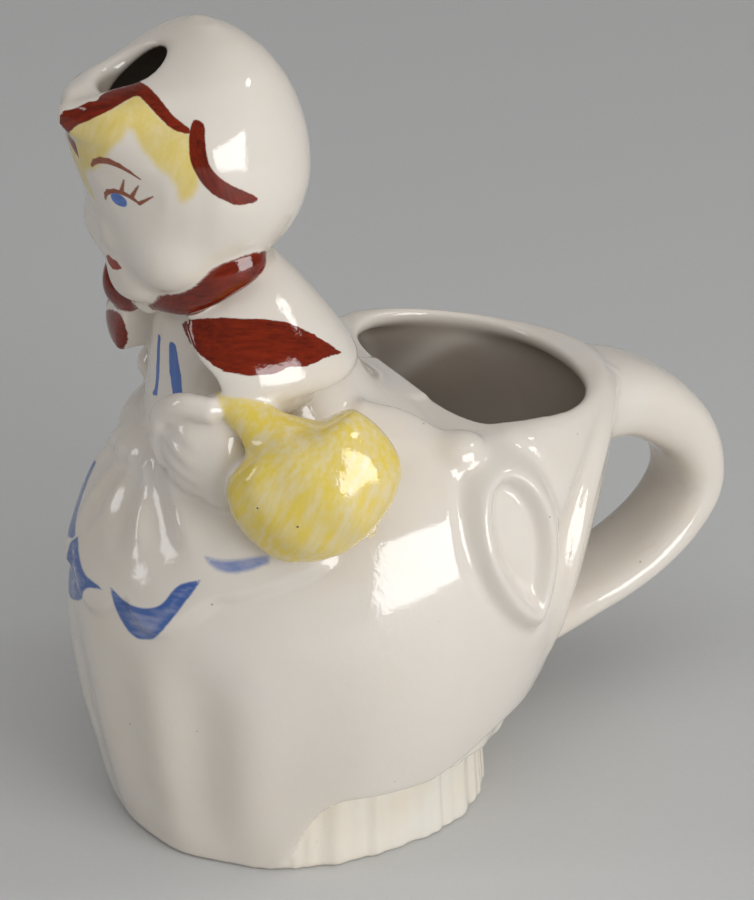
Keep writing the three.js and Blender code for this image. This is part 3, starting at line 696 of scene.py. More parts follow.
def lay_apron(m, clay):
    """The gathered apron stands a little off the skirt, and its folds fan out from the waist."""
    half = []
    for start, dip, end in SCALLOPS:
        for t in np.linspace(0, 1, 9)[:-1]:
            half.append([(1 - t) ** 2 * a + 2 * t * (1 - t) * b + t * t * c for a, b, c in zip(start, dip, end)])
    half += [list(p) for p in APRON_SIDE]
    corners = np.array([[m.aside(u), m.up(v)] for u, v in half])
    corners = np.concatenate([corners, (corners * [-1, 1])[::-1]])
    where, x, y, z = clay.region((-40, -50, m.up(25)), (40, m.back(-7.5), m.up(60)))
    edge = outline_distance(corners, x[:, 0, :], z[0, 0, :][None, :])[:, None, :]
    raised = 1 - smooth(edge, -0.9, 0.5)
    front = 1 - smooth(y, m.back(-12), m.back(-7.5))
    skirt = np.isin(clay.form[where], (SKIRT_F, BUST_F)) & (np.abs(clay.value[where]) < 6)
    clay.form[where] = np.where((edge < 0.1) & skirt & (clay.form[where] == SKIRT_F) & (front > 0.5),
                                APRON_F, clay.form[where])
    clay.value[where] -= (1.2 * raised * front * (clay.form[where] != BUST_F)).astype(np.float32)
    gather = m.place(0, -20.6, 52)
    for x_end, y_end, z_end, width, height in APRON_FOLDS:
        end = m.place(x_end, y_end, z_end)
        middle = gather * 0.5 + end * 0.5 + np.array([0, -1.8, 2.4])
        clay.crease([gather, middle, end], width, height)


def loop_outline(m, inset):
    top = np.array([m.back(14.4), m.up(49.3)])
    fall = np.array([m.back(20.2), m.up(27.7)]) - top
    along = fall / np.linalg.norm(fall)
    start = top + along * inset * 1.2
    reach = np.linalg.norm(fall) - inset * 3.4
    turn = np.linspace(0, 2 * math.pi, 40, endpoint=False)
    down = (1 - np.cos(turn)) / 2 * reach
    wide = (m.back(6.7) - inset) * 1.2 * np.sin(turn) * np.abs(np.cos(turn / 2)) ** 0.5
    return np.stack([start[0] + along[0] * down - along[1] * wide, start[1] + along[1] * down + along[0] * wide], 1)


def lay_sash(m, clay):
    """A bow on each hip: a round knot, a leaf that lies up the waist and a long open loop."""
    for side in (1, -1):
        low, high = sorted((side * m.aside(12), side * m.aside(60)))
        where, _, y, z = clay.region((low, m.back(2), m.up(24)), (high, m.back(30), m.up(52)))
        edge = outline_distance(loop_outline(m, 0), y[0, :, :], z[0, 0, :][None, :])[None, :, :]
        band = np.exp(-(((edge + 2.0) / 1.7) ** 2))
        recess = smooth(-edge, 3.2, 5.0)
        moat = np.exp(-(((edge - 1.2) / 1.1) ** 2))
        near = np.abs(clay.value[where]) < 5
        clay.form[where] = np.where((edge < 0.6) & near, SASH_F, clay.form[where])
        clay.value[where] -= (2.0 * band - 0.9 * recess - 0.6 * moat).astype(np.float32)
        clay.ball(m.place(34.2 * side, 12.2, 49.1), m.place(5.2, 3.6, 2.7), 2.6, SASH_F)
        stops = m.stops([(x0 * side, *rest) for x0, *rest in SASH_LEAF])
        clay.strap(stops, (0, 1, 0), 4.2, SASH_F)


def lay_drape(m, clay):
    """The skirt's back edge is drawn up to the root of the handle."""
    for side in (1, -1):
        edge = [m.place(9 * side, 46, 46.4), m.place(18 * side, 42, 46), m.place(28 * side, 36, 43.8),
                m.place(36 * side, 31, 39), m.place(40 * side, 28, 33), m.place(41 * side, 26.6, 27),
                m.place(38 * side, 26.6, 21)]
        clay.crease(edge, 1.6, 2.0)
        clay.crease([p + np.array([1.2 * side, -3.8, 0.6]) for p in edge[1:-1]], 2.6, -1.3)


def hollow_out(m, clay):
    """The hollow from the floor to the mouth, and up through the neck to the pouring lip."""
    wall = m.wall
    where, x, y, z = clay.region((-99, -99, 0), (99, 99, m.up(60)))
    top = m.up(RIM)
    inside = even(raw_skirt(m, x, y, z, -wall, folds=False).astype(np.float32), clay.step)
    inside = np.maximum(inside, FLOOR - z)
    # mouth, with its front edge nearly straight
    middle = m.back(MOUTH_MIDDLE)
    u = x / m.aside(29.7)
    v = (y - middle) / np.where(y < middle, m.back(9.6), m.back(14.6))
    power = np.where(y < middle, 3.4, 2.1)
    r = squared(u, v, power)
    rad = np.sqrt(x * x + (y - middle) ** 2)
    column = np.maximum(rad - rad / r - 0.09 * (z - top), top - m.up(16.2) - z)
    inside = soft_min(inside, column, 5)
    hole = np.full(clay.value.shape, 30, np.float32)
    hole[where] = inside
    where, *at = clay.region((-30, -40, m.up(40)), (30, 25, m.up(78)))
    hole[where] = np.minimum(hole[where], tube(m, *at, BODICE, -wall, below=4))
    where, *at = clay.region((-30, -50, m.up(64)), (30, 12, m.up(102)))
    hole[where] = np.minimum(hole[where], tube(m, *at, HEAD, -wall, below=-wall, above=wall))
    # pouring hole, and the channel from it along the lip
    centre, radii = (m.place(*shares) for shares in POURING_HOLE)
    where, x, y, z = clay.region(centre - radii - 3, centre + radii + 3)
    u, v, w = ((p - c) / r for p, c, r in zip((x, y, z), centre, radii))
    r = np.sqrt(u * u + v * v + w * w)
    hole[where] = np.minimum(hole[where], (r - 1) * radii.min())
    clay.marks["depth"] = -clay.value
    clay.cut(EVERYWHERE, hole, 1.8, LINING_F)
    channel = m.stops(LIP_CHANNEL)
    where, _, place, best = clay.near(path_points(channel, 24), 5)
    radius = np.interp(place, np.linspace(0, 23, len(channel)), channel[:, 3])
    clay.cut(where, (np.sqrt(best) - radius).astype(np.float32), 1.2)


def lay_petticoat(m, clay):
    """The pleated underskirt, which is the foot of the jug."""
    where, x, y, z = clay.region((-60, -60, -5), (60, 60, m.up(20)))
    middle, depth, half, squareness = m.back(0.3), m.back(23.8), m.aside(37.6), 2.33
    turn = np.arctan2(x / half, (middle - y) / depth)
    wander = turn + 0.05 * np.sin(5 * turn + 1) + 0.03 * np.sin(13 * turn)
    pleat = 0.55 * (np.abs(np.cos(wander * 12)) ** 0.7 - 0.6) + 0.22 * np.cos(wander * 53 + 1.3 * np.sin(7 * turn))
    flare = 0.5 * (1 - smooth(z, 0, m.up(7)))
    swell = -0.4 + pleat + flare
    r = squared(x / (half + swell), (y - middle) / (depth + swell), squareness)
    rad = np.sqrt(x * x + (y - middle) ** 2)
    outer = (rad - rad / r).astype(np.float32)
    front, rear, half_width = follow(m.levels(SKIRT), z)
    under = oval(x, y, front, rear, half_width, -1.5 + 0.15 * np.cos(wander * 30)).astype(np.float32)
    inner = oval(x, y, front, rear, half_width, -2 * m.wall)
    narrow = oval(x, y, middle - depth, middle + depth, half, -m.wall + 0.55 * np.maximum(z - m.up(9), 0))
    well = np.maximum(np.maximum(inner, narrow), FLOOR - z).astype(np.float32)
    flounce = np.maximum(outer, z - m.up(10.9))
    tier = np.maximum(under, np.maximum(m.up(10) - z, z - hem_height(m, x, y) - 4)).astype(np.float32)
    for shell, blend in ((flounce, 0.7), (tier, 1.2)):
        clay.add(where, np.maximum(shell, -well), blend, PETTICOAT_F)


def model_clay(m):
    clay = Clay(CLAY_LOW, CLAY_HIGH, m.grain)
    for lay in (lay_skirt, lay_bodice, lay_apron, lay_sash, lay_handle, lay_drape, lay_cape, lay_head,
                lay_bonnet_edge, lay_arms, lay_bag, lay_kerchief, hollow_out, lay_petticoat):
        lay(m, clay)
    clay.soften(1)
    clay.cut(EVERYWHERE, clay.z + 0 * clay.x + 0 * clay.y - 0.02, 1.4)
    return clay


# Pieces

REPLACED = {
    "skirt": ("skirt_shell",), "handle": ("handle",), "bust": ("bodice", "cape", "arm_left", "arm_right"),
    "head": ("head",), "kerchief": ("kerchief_left", "kerchief_right", "kerchief_knot"), "bag": ("bag",),
    "apron": ("apron",), "petticoat": ("petticoat_foot",),
    "sash": tuple(f"sash_{part}_{side}" for part in ("knot", "upper_loop", "lower_loop")
                  for side in ("left", "right")),
}
PAINTED = {
    "head": ("band", "tie", "leaf", "hair"), "kerchief": ("leaf", "cape", "cape_front", "bag"),
    "bust": ("leaf", "cape", "cape_front", "bag"),
    "apron": ("scallop", "side_scallop", "front_scallop", "apron_edge", "bag"),
    "skirt": ("scallop", "side_scallop", "front_scallop", "apron_edge", "bag"), "bag": ("bag",),
    "lining": ("depth",),
}


def paint_reach(points, normals, name):
    """How far each point is outside a patch; points that face away are never inside."""
    fold = np.where((points[:, :1] < 0) & (name not in ONE_SIDED), [-1.0, 1, 1], [1.0, 1, 1])
    side, facing = points * fold, normals * fold
    low = np.where((points[:, 0] < 0) & (name in LOWER_THERE), LOWERED, 0)
    reach = outline_distance(rounded(np.array(PATCHES[name], float)), side @ ALONG, side @ UPWARD + low)
    if name == "band":  # the channel of the lip and its rim stay white
        reach = reach + 10 * np.maximum(0.2 - np.maximum(facing[:, 0], -facing[:, 1]), 0)
    least = LEAST_FACING["one" if name in ONE_SIDED else "both"]
    return np.where(facing @ TOWARD > least, reach, FAR).astype(np.float32)


def part_skin(skin, marks):
    """Parts the skin into one mesh for each form, with the normals of the whole."""
    points, faces, normals, form, cells = skin
    face_form = np.sort(form[faces], axis=1)[:, 1]
    for number, name in enumerate(FORMS):
        own = faces[face_form == number]
        used, back = np.unique(own, return_inverse=True)
        own = back.reshape(own.shape)
        mesh = bpy.data.meshes.new(name)
        mesh.vertices.add(len(used))
        mesh.vertices.foreach_set("co", (points[used] * MM).astype(np.float32).ravel())
        mesh.loops.add(own.size)
        mesh.loops.foreach_set("vertex_index", own.astype(np.int32).ravel())
        mesh.polygons.add(len(own))
        mesh.polygons.foreach_set("loop_start", np.arange(0, own.size, 4, dtype=np.int32))
        mesh.polygons.foreach_set("loop_total", np.full(len(own), 4, np.int32))
        mesh.polygons.foreach_set("use_smooth", np.ones(len(own), bool))
        mesh.update()
        mesh.validate()
        mesh.normals_split_custom_set_from_vertices(normals[used].astype(np.float32))
        for patch in PAINTED.get(name, ()):
            reach = mesh.attributes.new("reach_" + patch, "FLOAT", "POINT")
            if patch in marks:
                reach.data.foreach_set("value", sample(marks[patch], cells[used]) - 0.3)
            else:
                reach.data.foreach_set("value", paint_reach(points[used], normals[used], patch))
        piece = bpy.data.objects.new("glazed_" + name, mesh)
        bpy.context.scene.collection.objects.link(piece)
        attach(piece, BODY)
        if name in REPLACED:
            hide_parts(*REPLACED[name])


class CREAMER_OT_cast(bpy.types.Operator):
    """Cast the jug: model the clay and part its skin into pieces."""

    bl_idname = "creamer.cast"
    bl_label = "Cast the jug"

    def execute(self, context):
        m = Measure(context.scene.creamer_sizes)
        clay = model_clay(m)
        part_skin(draw_skin(clay), clay.marks)
        return {"FINISHED"}


# Glaze


def group(name, inputs, outputs):
    """An empty node group with its sockets, and its two ends."""
    tree = bpy.data.node_groups.new(name, "ShaderNodeTree")
    for label, kind, value in inputs:
        socket = tree.interface.new_socket(label, in_out="INPUT", socket_type="NodeSocket" + kind)
        socket.default_value = value
    for label, kind in outputs:
        tree.interface.new_socket(label, in_out="OUTPUT", socket_type="NodeSocket" + kind)
    return tree, tree.nodes.new("NodeGroupInput").outputs, tree.nodes.new("NodeGroupOutput").inputs


class Wires:
    """Short ways to add nodes to a tree."""

    def __init__(self, tree):
        self.tree = tree

    def put(self, socket, value):
        if isinstance(value, bpy.types.NodeSocket):
            self.tree.links.new(value, socket)
        elif value is not None:
            socket.default_value = value

    def math(self, operation, a, b=None, c=None, clamp=False):
        node = self.tree.nodes.new("ShaderNodeMath")
        node.operation, node.use_clamp = operation, clamp
        for socket, value in zip(node.inputs, (a, b, c)):
            self.put(socket, value)
        return node.outputs[0]

    def vector(self, operation, a, b=None, scale=None):
        node = self.tree.nodes.new("ShaderNodeVectorMath")
        node.operation = operation
        self.put(node.inputs[0], a)
        self.put(node.inputs[1], b)
        if scale is not None:
            self.put(node.inputs["Scale"], scale)
        return node.outputs["Value" if operation in ("DOT_PRODUCT", "LENGTH", "DISTANCE") else "Vector"]

    def ramp(self, value, low, high, out_low=0.0, out_high=1.0):
        node = self.tree.nodes.new("ShaderNodeMapRange")
        node.interpolation_type = "SMOOTHSTEP"
        for socket, number in zip(node.inputs, (value, low, high, out_low, out_high)):
            self.put(socket, number)
        return node.outputs[0]

    def mix(self, factor, a, b, blend="MIX"):
        node = self.tree.nodes.new("ShaderNodeMix")
        node.data_type, node.blend_type = "RGBA", blend
        self.put(node.inputs[0], factor)
        self.put(node.inputs[6], a)
        self.put(node.inputs[7], b)
        return node.outputs[2]

    def noise(self, at, scale, detail=2.0, rough=0.5, warp=0.0):
        node = self.tree.nodes.new("ShaderNodeTexNoise")
        self.put(node.inputs["Vector"], at)
        for label, value in (("Scale", scale), ("Detail", detail), ("Roughness", rough), ("Distortion", warp)):
            self.put(node.inputs[label], value)
        return node.outputs["Fac"]

    def use(self, tree, **values):
        node = self.tree.nodes.new("ShaderNodeGroup")
        node.node_tree = tree
        for label, value in values.items():
            self.put(node.inputs[label.replace("_", " ")], value)
        return node.outputs


def segment_group():
    """How far a point is outside a brush mark between two places, whose half width goes from one to the other."""
    tree, have, give = group(
        "brush_mark",
        [("Point", "Vector", (0, 0, 0)), ("From", "Vector", (0, 0, 0)), ("To", "Vector", (1, 0, 0)),
         ("Half from", "Float", 1.0), ("Half to", "Float", 1.0)],
        [("Reach", "Float")])
    w = Wires(tree)
    off = w.vector("SUBTRACT", have["Point"], have["From"])
    run = w.vector("SUBTRACT", have["To"], have["From"])
    t = w.math("DIVIDE", w.vector("DOT_PRODUCT", off, run), w.vector("DOT_PRODUCT", run, run), clamp=True)
    gap = w.vector("LENGTH", w.vector("SUBTRACT", off, w.vector("SCALE", run, scale=t)))
    half = w.math("MULTIPLY_ADD", t, w.math("SUBTRACT", have["Half to"], have["Half from"]), have["Half from"])
    w.put(give["Reach"], w.math("SUBTRACT", gap, half))
    return tree


def paint_group():
    """Paint laid with a brush: solid or ragged at its edge, and streaked along the stroke."""
    tree, have, give = group(
        "brushed_paint",
        [("Point", "Vector", (0, 0, 0)), ("Reach", "Float", 0.0), ("Along", "Vector", (1, 0, 0)),
         ("Ragged", "Float", 0.3), ("Edge", "Float", 0.12), ("Streaks", "Float", 1.0),
         ("Hairs", "Float", 1.7), ("Pool", "Float", 0.0)],
        [("Mask", "Float"), ("Body", "Float")])
    w = Wires(tree)
    # squeeze the place along the stroke, so that the noise is drawn out into hairs of the brush
    slide = w.vector("DOT_PRODUCT", have["Point"], have["Along"])
    squeezed = w.vector("SUBTRACT", have["Point"],
                        w.vector("SCALE", have["Along"], scale=w.math("MULTIPLY", slide, 0.88)))
    hairs = w.noise(squeezed, have["Hairs"], 3.0, 0.6)
    pools = w.noise(have["Point"], 0.22, 2.0, 0.5)
    fray = w.math("MULTIPLY", w.math("SUBTRACT", hairs, 0.5), have["Ragged"])
    edge = w.math("ADD", have["Reach"], w.math("MULTIPLY", fray, 2.0))
    w.put(give["Mask"], w.ramp(edge, have["Edge"], w.math("MULTIPLY", have["Edge"], -1.0)))
    mixed = w.math("ADD", w.math("MULTIPLY", hairs, 0.65), w.math("MULTIPLY", pools, 0.35))
    body = w.math("MULTIPLY_ADD", w.math("SUBTRACT", mixed, 0.5), w.math("MULTIPLY", have["Streaks"], 2.6), 0.5,
                  clamp=True)
    pool = w.math("MULTIPLY", w.ramp(have["Reach"], -1.7, -0.2), have["Pool"])
    w.put(give["Body"], w.math("ADD", body, pool, clamp=True))
    return tree


def glaze_group():
    """The fired glaze itself: drifting tint, pinholes and iron specks, and a faintly uneven face."""
    tree, have, give = group(
        "fired_glaze",
        [("Point", "Vector", (0, 0, 0)), ("Colour", "Color", (0.8, 0.8, 0.8, 1)), ("Warmth", "Float", 0.5),
         ("Specks", "Float", 1.0), ("Gloss", "Float", 0.07)],
        [("Colour", "Color"), ("Roughness", "Float"), ("Height", "Float")])
    w = Wires(tree)
    drift = w.noise(have["Point"], 0.035, 3.0, 0.55)
    cloud = w.noise(have["Point"], 0.16, 2.0, 0.5)
    shade = w.math("ADD", w.math("MULTIPLY", drift, 0.7), w.math("MULTIPLY", cloud, 0.3))
    warm = w.mix(w.math("MULTIPLY", w.ramp(shade, 0.35, 0.7), have["Warmth"]), have["Colour"],
                 w.mix(1.0, have["Colour"], (1.0, 0.945, 0.86, 1), "MULTIPLY"))
    cells = tree.nodes.new("ShaderNodeTexVoronoi")
    w.put(cells.inputs["Vector"], have["Point"])
    cells.inputs["Scale"].default_value = 0.26
    chance = w.math("GREATER_THAN", w.vector("DOT_PRODUCT", cells.outputs["Color"], (1, 0, 0)), 0.45)
    size = w.math("MULTIPLY_ADD", w.vector("DOT_PRODUCT", cells.outputs["Color"], (0, 1, 0)), 0.05, 0.02)
    speck = w.math("MULTIPLY", w.math("MULTIPLY", chance, have["Specks"]),
                   w.ramp(cells.outputs["Distance"], size, w.math("MULTIPLY", size, 0.5)))
    w.put(give["Colour"], w.mix(w.math("MULTIPLY", speck, 0.6), warm, (0.13, 0.09, 0.06, 1)))
    haze = w.noise(have["Point"], 0.5, 3.0, 0.6)
    rough = w.math("MULTIPLY", have["Gloss"], w.math("MULTIPLY_ADD", haze, 0.8, 0.6))
    w.put(give["Roughness"], w.math("ADD", rough, w.math("MULTIPLY", speck, 0.25)))
    peel = w.math("MULTIPLY", w.noise(have["Point"], 0.12, 1.0, 0.4), 1.0)
    fine = w.math("MULTIPLY", w.noise(have["Point"], 0.32, 4.0, 0.6), 0.5)
    w.put(give["Height"], w.math("SUBTRACT", w.math("ADD", peel, fine), w.math("MULTIPLY", speck, 0.25)))
    return tree


def colour(value):
    return (*value[:3], 1.0)


class Finish:
    """One painted and glazed material."""

    def __init__(self, name, glazes, base, groups, specks=1.0, warmth=0.5):
        self.material = bpy.data.materials.new(name)
        self.material.use_nodes = True
        self.tree = self.material.node_tree
        self.w = Wires(self.tree)
        self.groups, self.glazes = groups, glazes
        place = self.tree.nodes.new("ShaderNodeTexCoord").outputs["Object"]
        self.point = self.w.vector("SCALE", place, scale=1 / MM)
        sided = self.w.vector("MULTIPLY", self.w.vector("ABSOLUTE", self.point), (1, 0, 0))
        self.folded = self.w.vector("ADD", sided, self.w.vector("MULTIPLY", self.point, (0, 1, 1)))
        self.specks, self.warmth = specks, warmth
        self.base = colour(base)

    def stroke(self, at, *marks):
        """Reach of a stroke drawn across the plane that faces forward, through marks of x, z and half width."""
        at = self.w.vector("MULTIPLY", at, (1, 0, 1))
        reach = None
        for (x, z, half), (next_x, next_z, next_half) in zip(marks, marks[1:]):
            one = self.w.use(self.groups["mark"], Point=at, From=(x, 0, z), To=(next_x, 0, next_z),
                             Half_from=half, Half_to=next_half)[0]
            reach = one if reach is None else self.w.math("SMOOTH_MIN", reach, one, 0.3)
        return reach

    def patch(self, name):
        """Reach of a patch that was marked out on the skin."""
        node = self.tree.nodes.new("ShaderNodeAttribute")
        node.attribute_name = "reach_" + name
        return node.outputs["Fac"]

    def in_front(self, reach, y):
        """Keeps a stroke off what lies behind this depth."""
        behind = self.w.math("SUBTRACT", self.w.vector("DOT_PRODUCT", self.point, (0, 1, 0)), y)
        return self.w.math("ADD", reach, self.w.math("MAXIMUM", behind, 0.0))

    def ends(self, towards, start, stop, more):
        """A value that rises by this much along a direction, between two places."""
        slide = self.w.vector("DOT_PRODUCT", self.folded, tuple(Vector(towards).normalized()))
        return self.w.ramp(slide, start, stop, 0.0, more)

    def join(self, *reaches):
        made = reaches[0]
        for reach in reaches[1:]:
            made = self.w.math("MINIMUM", made, reach)
        return made

    def paint(self, reach, thin, thick, along=(1, 0, 0), ragged=0.3, edge=0.12, streaks=1.0, cover=1.0, hairs=1.7,
              pool=0.0):
        """Lays paint over what is there."""
        out = self.w.use(self.groups["paint"], Point=self.point, Reach=reach,
                         Along=tuple(Vector(along).normalized()), Ragged=ragged, Edge=edge, Streaks=streaks,
                         Hairs=hairs, Pool=pool)
        tint = self.w.mix(out["Body"], colour(thin), colour(thick))
        mask = self.w.math("MULTIPLY", out["Mask"], cover)
        self.base = self.w.mix(mask, self.base, tint)
        return mask

    def fire(self, bump=0.25):
        glaze = self.w.use(self.groups["glaze"], Point=self.point, Colour=self.base, Warmth=self.warmth,
                           Specks=self.specks, Gloss=self.glazes.gloss)
        shader = self.tree.nodes["Principled BSDF"]
        self.w.put(shader.inputs["Base Color"], glaze["Colour"])
        self.w.put(shader.inputs["Roughness"], glaze["Roughness"])
        shader.inputs["IOR"].default_value = 1.55
        node = self.tree.nodes.new("ShaderNodeBump")
        node.inputs["Strength"].default_value = bump
        node.inputs["Distance"].default_value = 0.0006
        self.w.put(node.inputs["Height"], glaze["Height"])
        self.w.put(shader.inputs["Normal"], node.outputs["Normal"])
        return self.material


def shade(value, factor):
    return tuple(min(c * factor, 1.0) for c in value)


def toward(a, b, t):
    return tuple(p * (1 - t) + q * t for p, q in zip(a, b))


def groups():
    names = {"mark": ("brush_mark", segment_group), "paint": ("brushed_paint", paint_group),
             "glaze": ("fired_glaze", glaze_group)}
    return {key: bpy.data.node_groups.get(name) or make() for key, (name, make) in names.items()}


def clothe(names, material):
    for name in names:
        piece = bpy.data.objects["glazed_" + name]
        piece.data.materials.clear()
        piece.data.materials.append(material)


BEHIND_FACE, BEHIND_BODICE = -19, -12  # depths that the strokes stop at


def rusts(g):
    """The thin and the thick of the rust red."""
    return shade(g.red, 1.55), shade(g.red, 0.5)


def brush_leaf(finish, g):
    finish.paint(finish.patch("leaf"), *rusts(g), along=(0.6, 1, 0.4), ragged=0.25, edge=0.15, streaks=0.9)


def brush_bag(finish, g):
    """Thin yellow brushed along the bag; the pieces beside it carry the edge of the paint."""
    finish.paint(finish.patch("bag"), toward(g.white, g.yellow, 0.5), g.yellow, along=(0.35, 0.3, 0.9), ragged=0.3,
                 edge=0.25, streaks=1.7, hairs=0.75)


class CREAMER_OT_glaze_plain(bpy.types.Operator):
    """Glaze the lining, the handle, the sash and the foot."""

    bl_idname = "creamer.glaze_plain"
    bl_label = "Glaze the plain pieces"

    def execute(self, context):
        g = context.scene.creamer_glazes
        white = Finish("white_glaze", g, g.white, groups())
        clothe(("handle", "sash"), white.fire())
        # painted shade: the inside is drawn darker and warmer the deeper it lies below the rim
        lining = Finish("lining_glaze_painted_shade", g, g.white, groups())
        inner_shade = lining.w.ramp(lining.patch("depth"), 1.0, 3.2)
        lining.base = lining.w.mix(inner_shade, lining.base, colour(g.lining))
        clothe(("lining",), lining.fire())
        foot = Finish("foot_glaze", g, g.foot, groups(), warmth=0.9)
        clothe(("petticoat",), foot.fire(0.35))
        return {"FINISHED"}


class CREAMER_OT_paint_head(bpy.types.Operator):
    """Paint the hair, the face and the bonnet's edge."""

    bl_idname = "creamer.paint_head"
    bl_label = "Paint the head"

    def execute(self, context):
        g = context.scene.creamer_glazes
        f = Finish("head_glaze", g, g.white, groups())
        # hair: a thin wash over the brow and down the temple
        f.paint(f.patch("hair"), toward(g.white, g.yellow, 0.6), shade(g.yellow, 0.9), along=(0.3, 0.2, 1),
                ragged=0.8, edge=0.7, streaks=1.0, cover=0.95, hairs=0.7)
        # brow, upper lid, lashes, iris and lips, the same on both sides
        def draw(*marks):
            return f.in_front(f.stroke(f.folded, *marks), BEHIND_FACE)

        brow = draw((3.4, 118.2, 0.26), (4.4, 119.2, 0.42), (5.8, 119.9, 0.5), (7.3, 120.1, 0.5),
                    (8.8, 119.8, 0.42), (10.1, 119.1, 0.3), (11.2, 118.1, 0.14))
        lid = draw((3.7, 112.5, 0.2), (4.3, 113.5, 0.3), (5.2, 114.3, 0.38), (6.4, 114.7, 0.42),
                   (7.7, 114.7, 0.42), (8.9, 114.2, 0.36), (9.7, 113.6, 0.24))
        lashes = f.join(draw((7.4, 114.8, 0.34), (8.7, 117.3, 0.1)), draw((8.8, 114.3, 0.34), (10.6, 116.8, 0.1)),
                        draw((9.8, 113.5, 0.32), (12.2, 115.3, 0.1)))
        brown = toward(g.brown, g.white, 0.06)
        f.paint(f.join(brow, lid, lashes), brown, shade(g.brown, 0.9), ragged=0.08, edge=0.12, streaks=0.9)
        iris = draw((6.3, 113.2, 1.1), (6.7, 113.2, 1.1))
        f.paint(iris, shade(g.blue, 1.4), shade(g.blue, 0.8), ragged=0.05, edge=0.12)
        lips = draw((0, 99.8, 0.85), (1.2, 100, 0.72), (2.3, 100, 0.2))
        f.paint(lips, shade(g.red, 2.0), shade(g.red, 1.3), along=(0, 0, 1), ragged=0.1, edge=0.1)
        # bonnet's edge, the tie on the cheek and the kerchief's leaf
        red = rusts(g)
        f.paint(f.patch("band"), *red, along=(0.6, 0.6, 0.3), ragged=0.16, edge=0.12, streaks=1.0)
        frayed = f.w.math("ADD", 0.16, f.ends((0.1, 1, -0.3), -48, -44, 0.8))
        f.paint(f.patch("tie"), *red, along=(0.1, 0.4, -1), ragged=frayed, edge=0.12, streaks=1.0)
        brush_leaf(f, g)
        clothe(("head",), f.fire())
        return {"FINISHED"}


class CREAMER_OT_paint_bust(bpy.types.Operator):
    """Paint the kerchief, the cape and the bodice."""

    bl_idname = "creamer.paint_bust"
    bl_label = "Paint the bust"

    def execute(self, context):
        g = context.scene.creamer_glazes
        f = Finish("bust_glaze", g, g.white, groups())
        cape = f.join(f.patch("cape"), f.patch("cape_front"))
        f.paint(cape, *rusts(g), along=(0.3, 1, -0.12), ragged=0.35, edge=0.12, streaks=0.9)
        brush_leaf(f, g)
        stripes = f.join(f.stroke(f.point, (-0.4, 85.4, 0.5), (-0.7, 80, 0.6), (-0.9, 76, 0.5), (-1.8, 75.4, 0.3)),
                         f.stroke(f.point, (3.4, 85.2, 0.9), (4, 81, 1.25), (4.7, 76.4, 0.9)))
        f.paint(f.in_front(stripes, BEHIND_BODICE), shade(g.blue, 1.2), shade(g.blue, 0.8), along=(0, 0, 1),
                ragged=0.25, edge=0.12)
        brush_bag(f, g)
        clothe(("bust", "kerchief"), f.fire())
        return {"FINISHED"}


class CREAMER_OT_paint_bag(bpy.types.Operator):
    """Brush the bag with thin yellow."""

    bl_idname = "creamer.paint_bag"
    bl_label = "Paint the bag"

    def execute(self, context):
        g = context.scene.creamer_glazes
        f = Finish("bag_glaze", g, g.white, groups(), specks=1.6)
        brush_bag(f, g)
        clothe(("bag",), f.fire(0.35))
        return {"FINISHED"}


class CREAMER_OT_paint_apron(bpy.types.Operator):
    """Paint the blue crescents along the apron's edge."""

    bl_idname = "creamer.paint_apron"
    bl_label = "Paint the apron"

    def execute(self, context):
        g = context.scene.creamer_glazes
        f = Finish("apron_glaze", g, g.white, groups())
        reach = f.join(f.patch("scallop"), f.patch("front_scallop"), f.patch("apron_edge"))
        f.paint(reach, toward(g.blue, g.white, 0.42), shade(g.blue, 0.85), along=(1, 0.5, 0.1), ragged=0.15,
                edge=0.2, streaks=1.0, hairs=1.0, pool=0.5)
        f.paint(f.patch("side_scallop"), toward(g.blue, g.white, 0.6), toward(g.blue, g.white, 0.2),
                along=(1, 0.5, 0.1), ragged=0.3, edge=0.5, hairs=1.0, pool=0.3)
        brush_bag(f, g)
        clothe(("apron", "skirt"), f.fire())
        return {"FINISHED"}


# Stage


# Lamps: name, direction from the jug, distance, width and height, and watts
LAMPS = [
    ("window", (0.935, 0.22, 0.20), 0.95, (0.58, 0.5), 4.5), ("glare", (0.935, 0.22, 0.20), 0.96, (0.58, 0.5), 2.4),
    ("front", (-0.30, -0.90, 0.34), 0.95, (0.2, 0.5), 1.2), ("fill", (0.66, -0.38, 0.72), 1.1, (0.8, 0.8), 1.2),
    ("edge", (0.37, 0.61, 0.68), 1.0, (0.2, 0.14), 0.7), ("above", (0.30, -0.05, 0.95), 1.3, (1.6, 1.2), 5.0),
]
UNLIT = ("glare",)  # the bright sky behind the window, seen only in the glaze
UNMIRRORED = ("fill", "above")  # a ceiling that fills the shadows and isn't mirrored


def area_lamp(name, toward_lamp, distance, size, power):
    data = bpy.data.lights.new(name, "AREA")
    data.shape, data.size, data.size_y = "RECTANGLE", size[0], size[1]
    data.energy = power
    lamp = bpy.data.objects.new(name, data)
    bpy.context.scene.collection.objects.link(lamp)
    aim = Vector((0, 0.01, 0.065))
    lamp.location = aim + Vector(toward_lamp).normalized() * distance
    lamp.rotation_euler = (lamp.location - aim).to_track_quat("Z", "Y").to_euler()
    return lamp


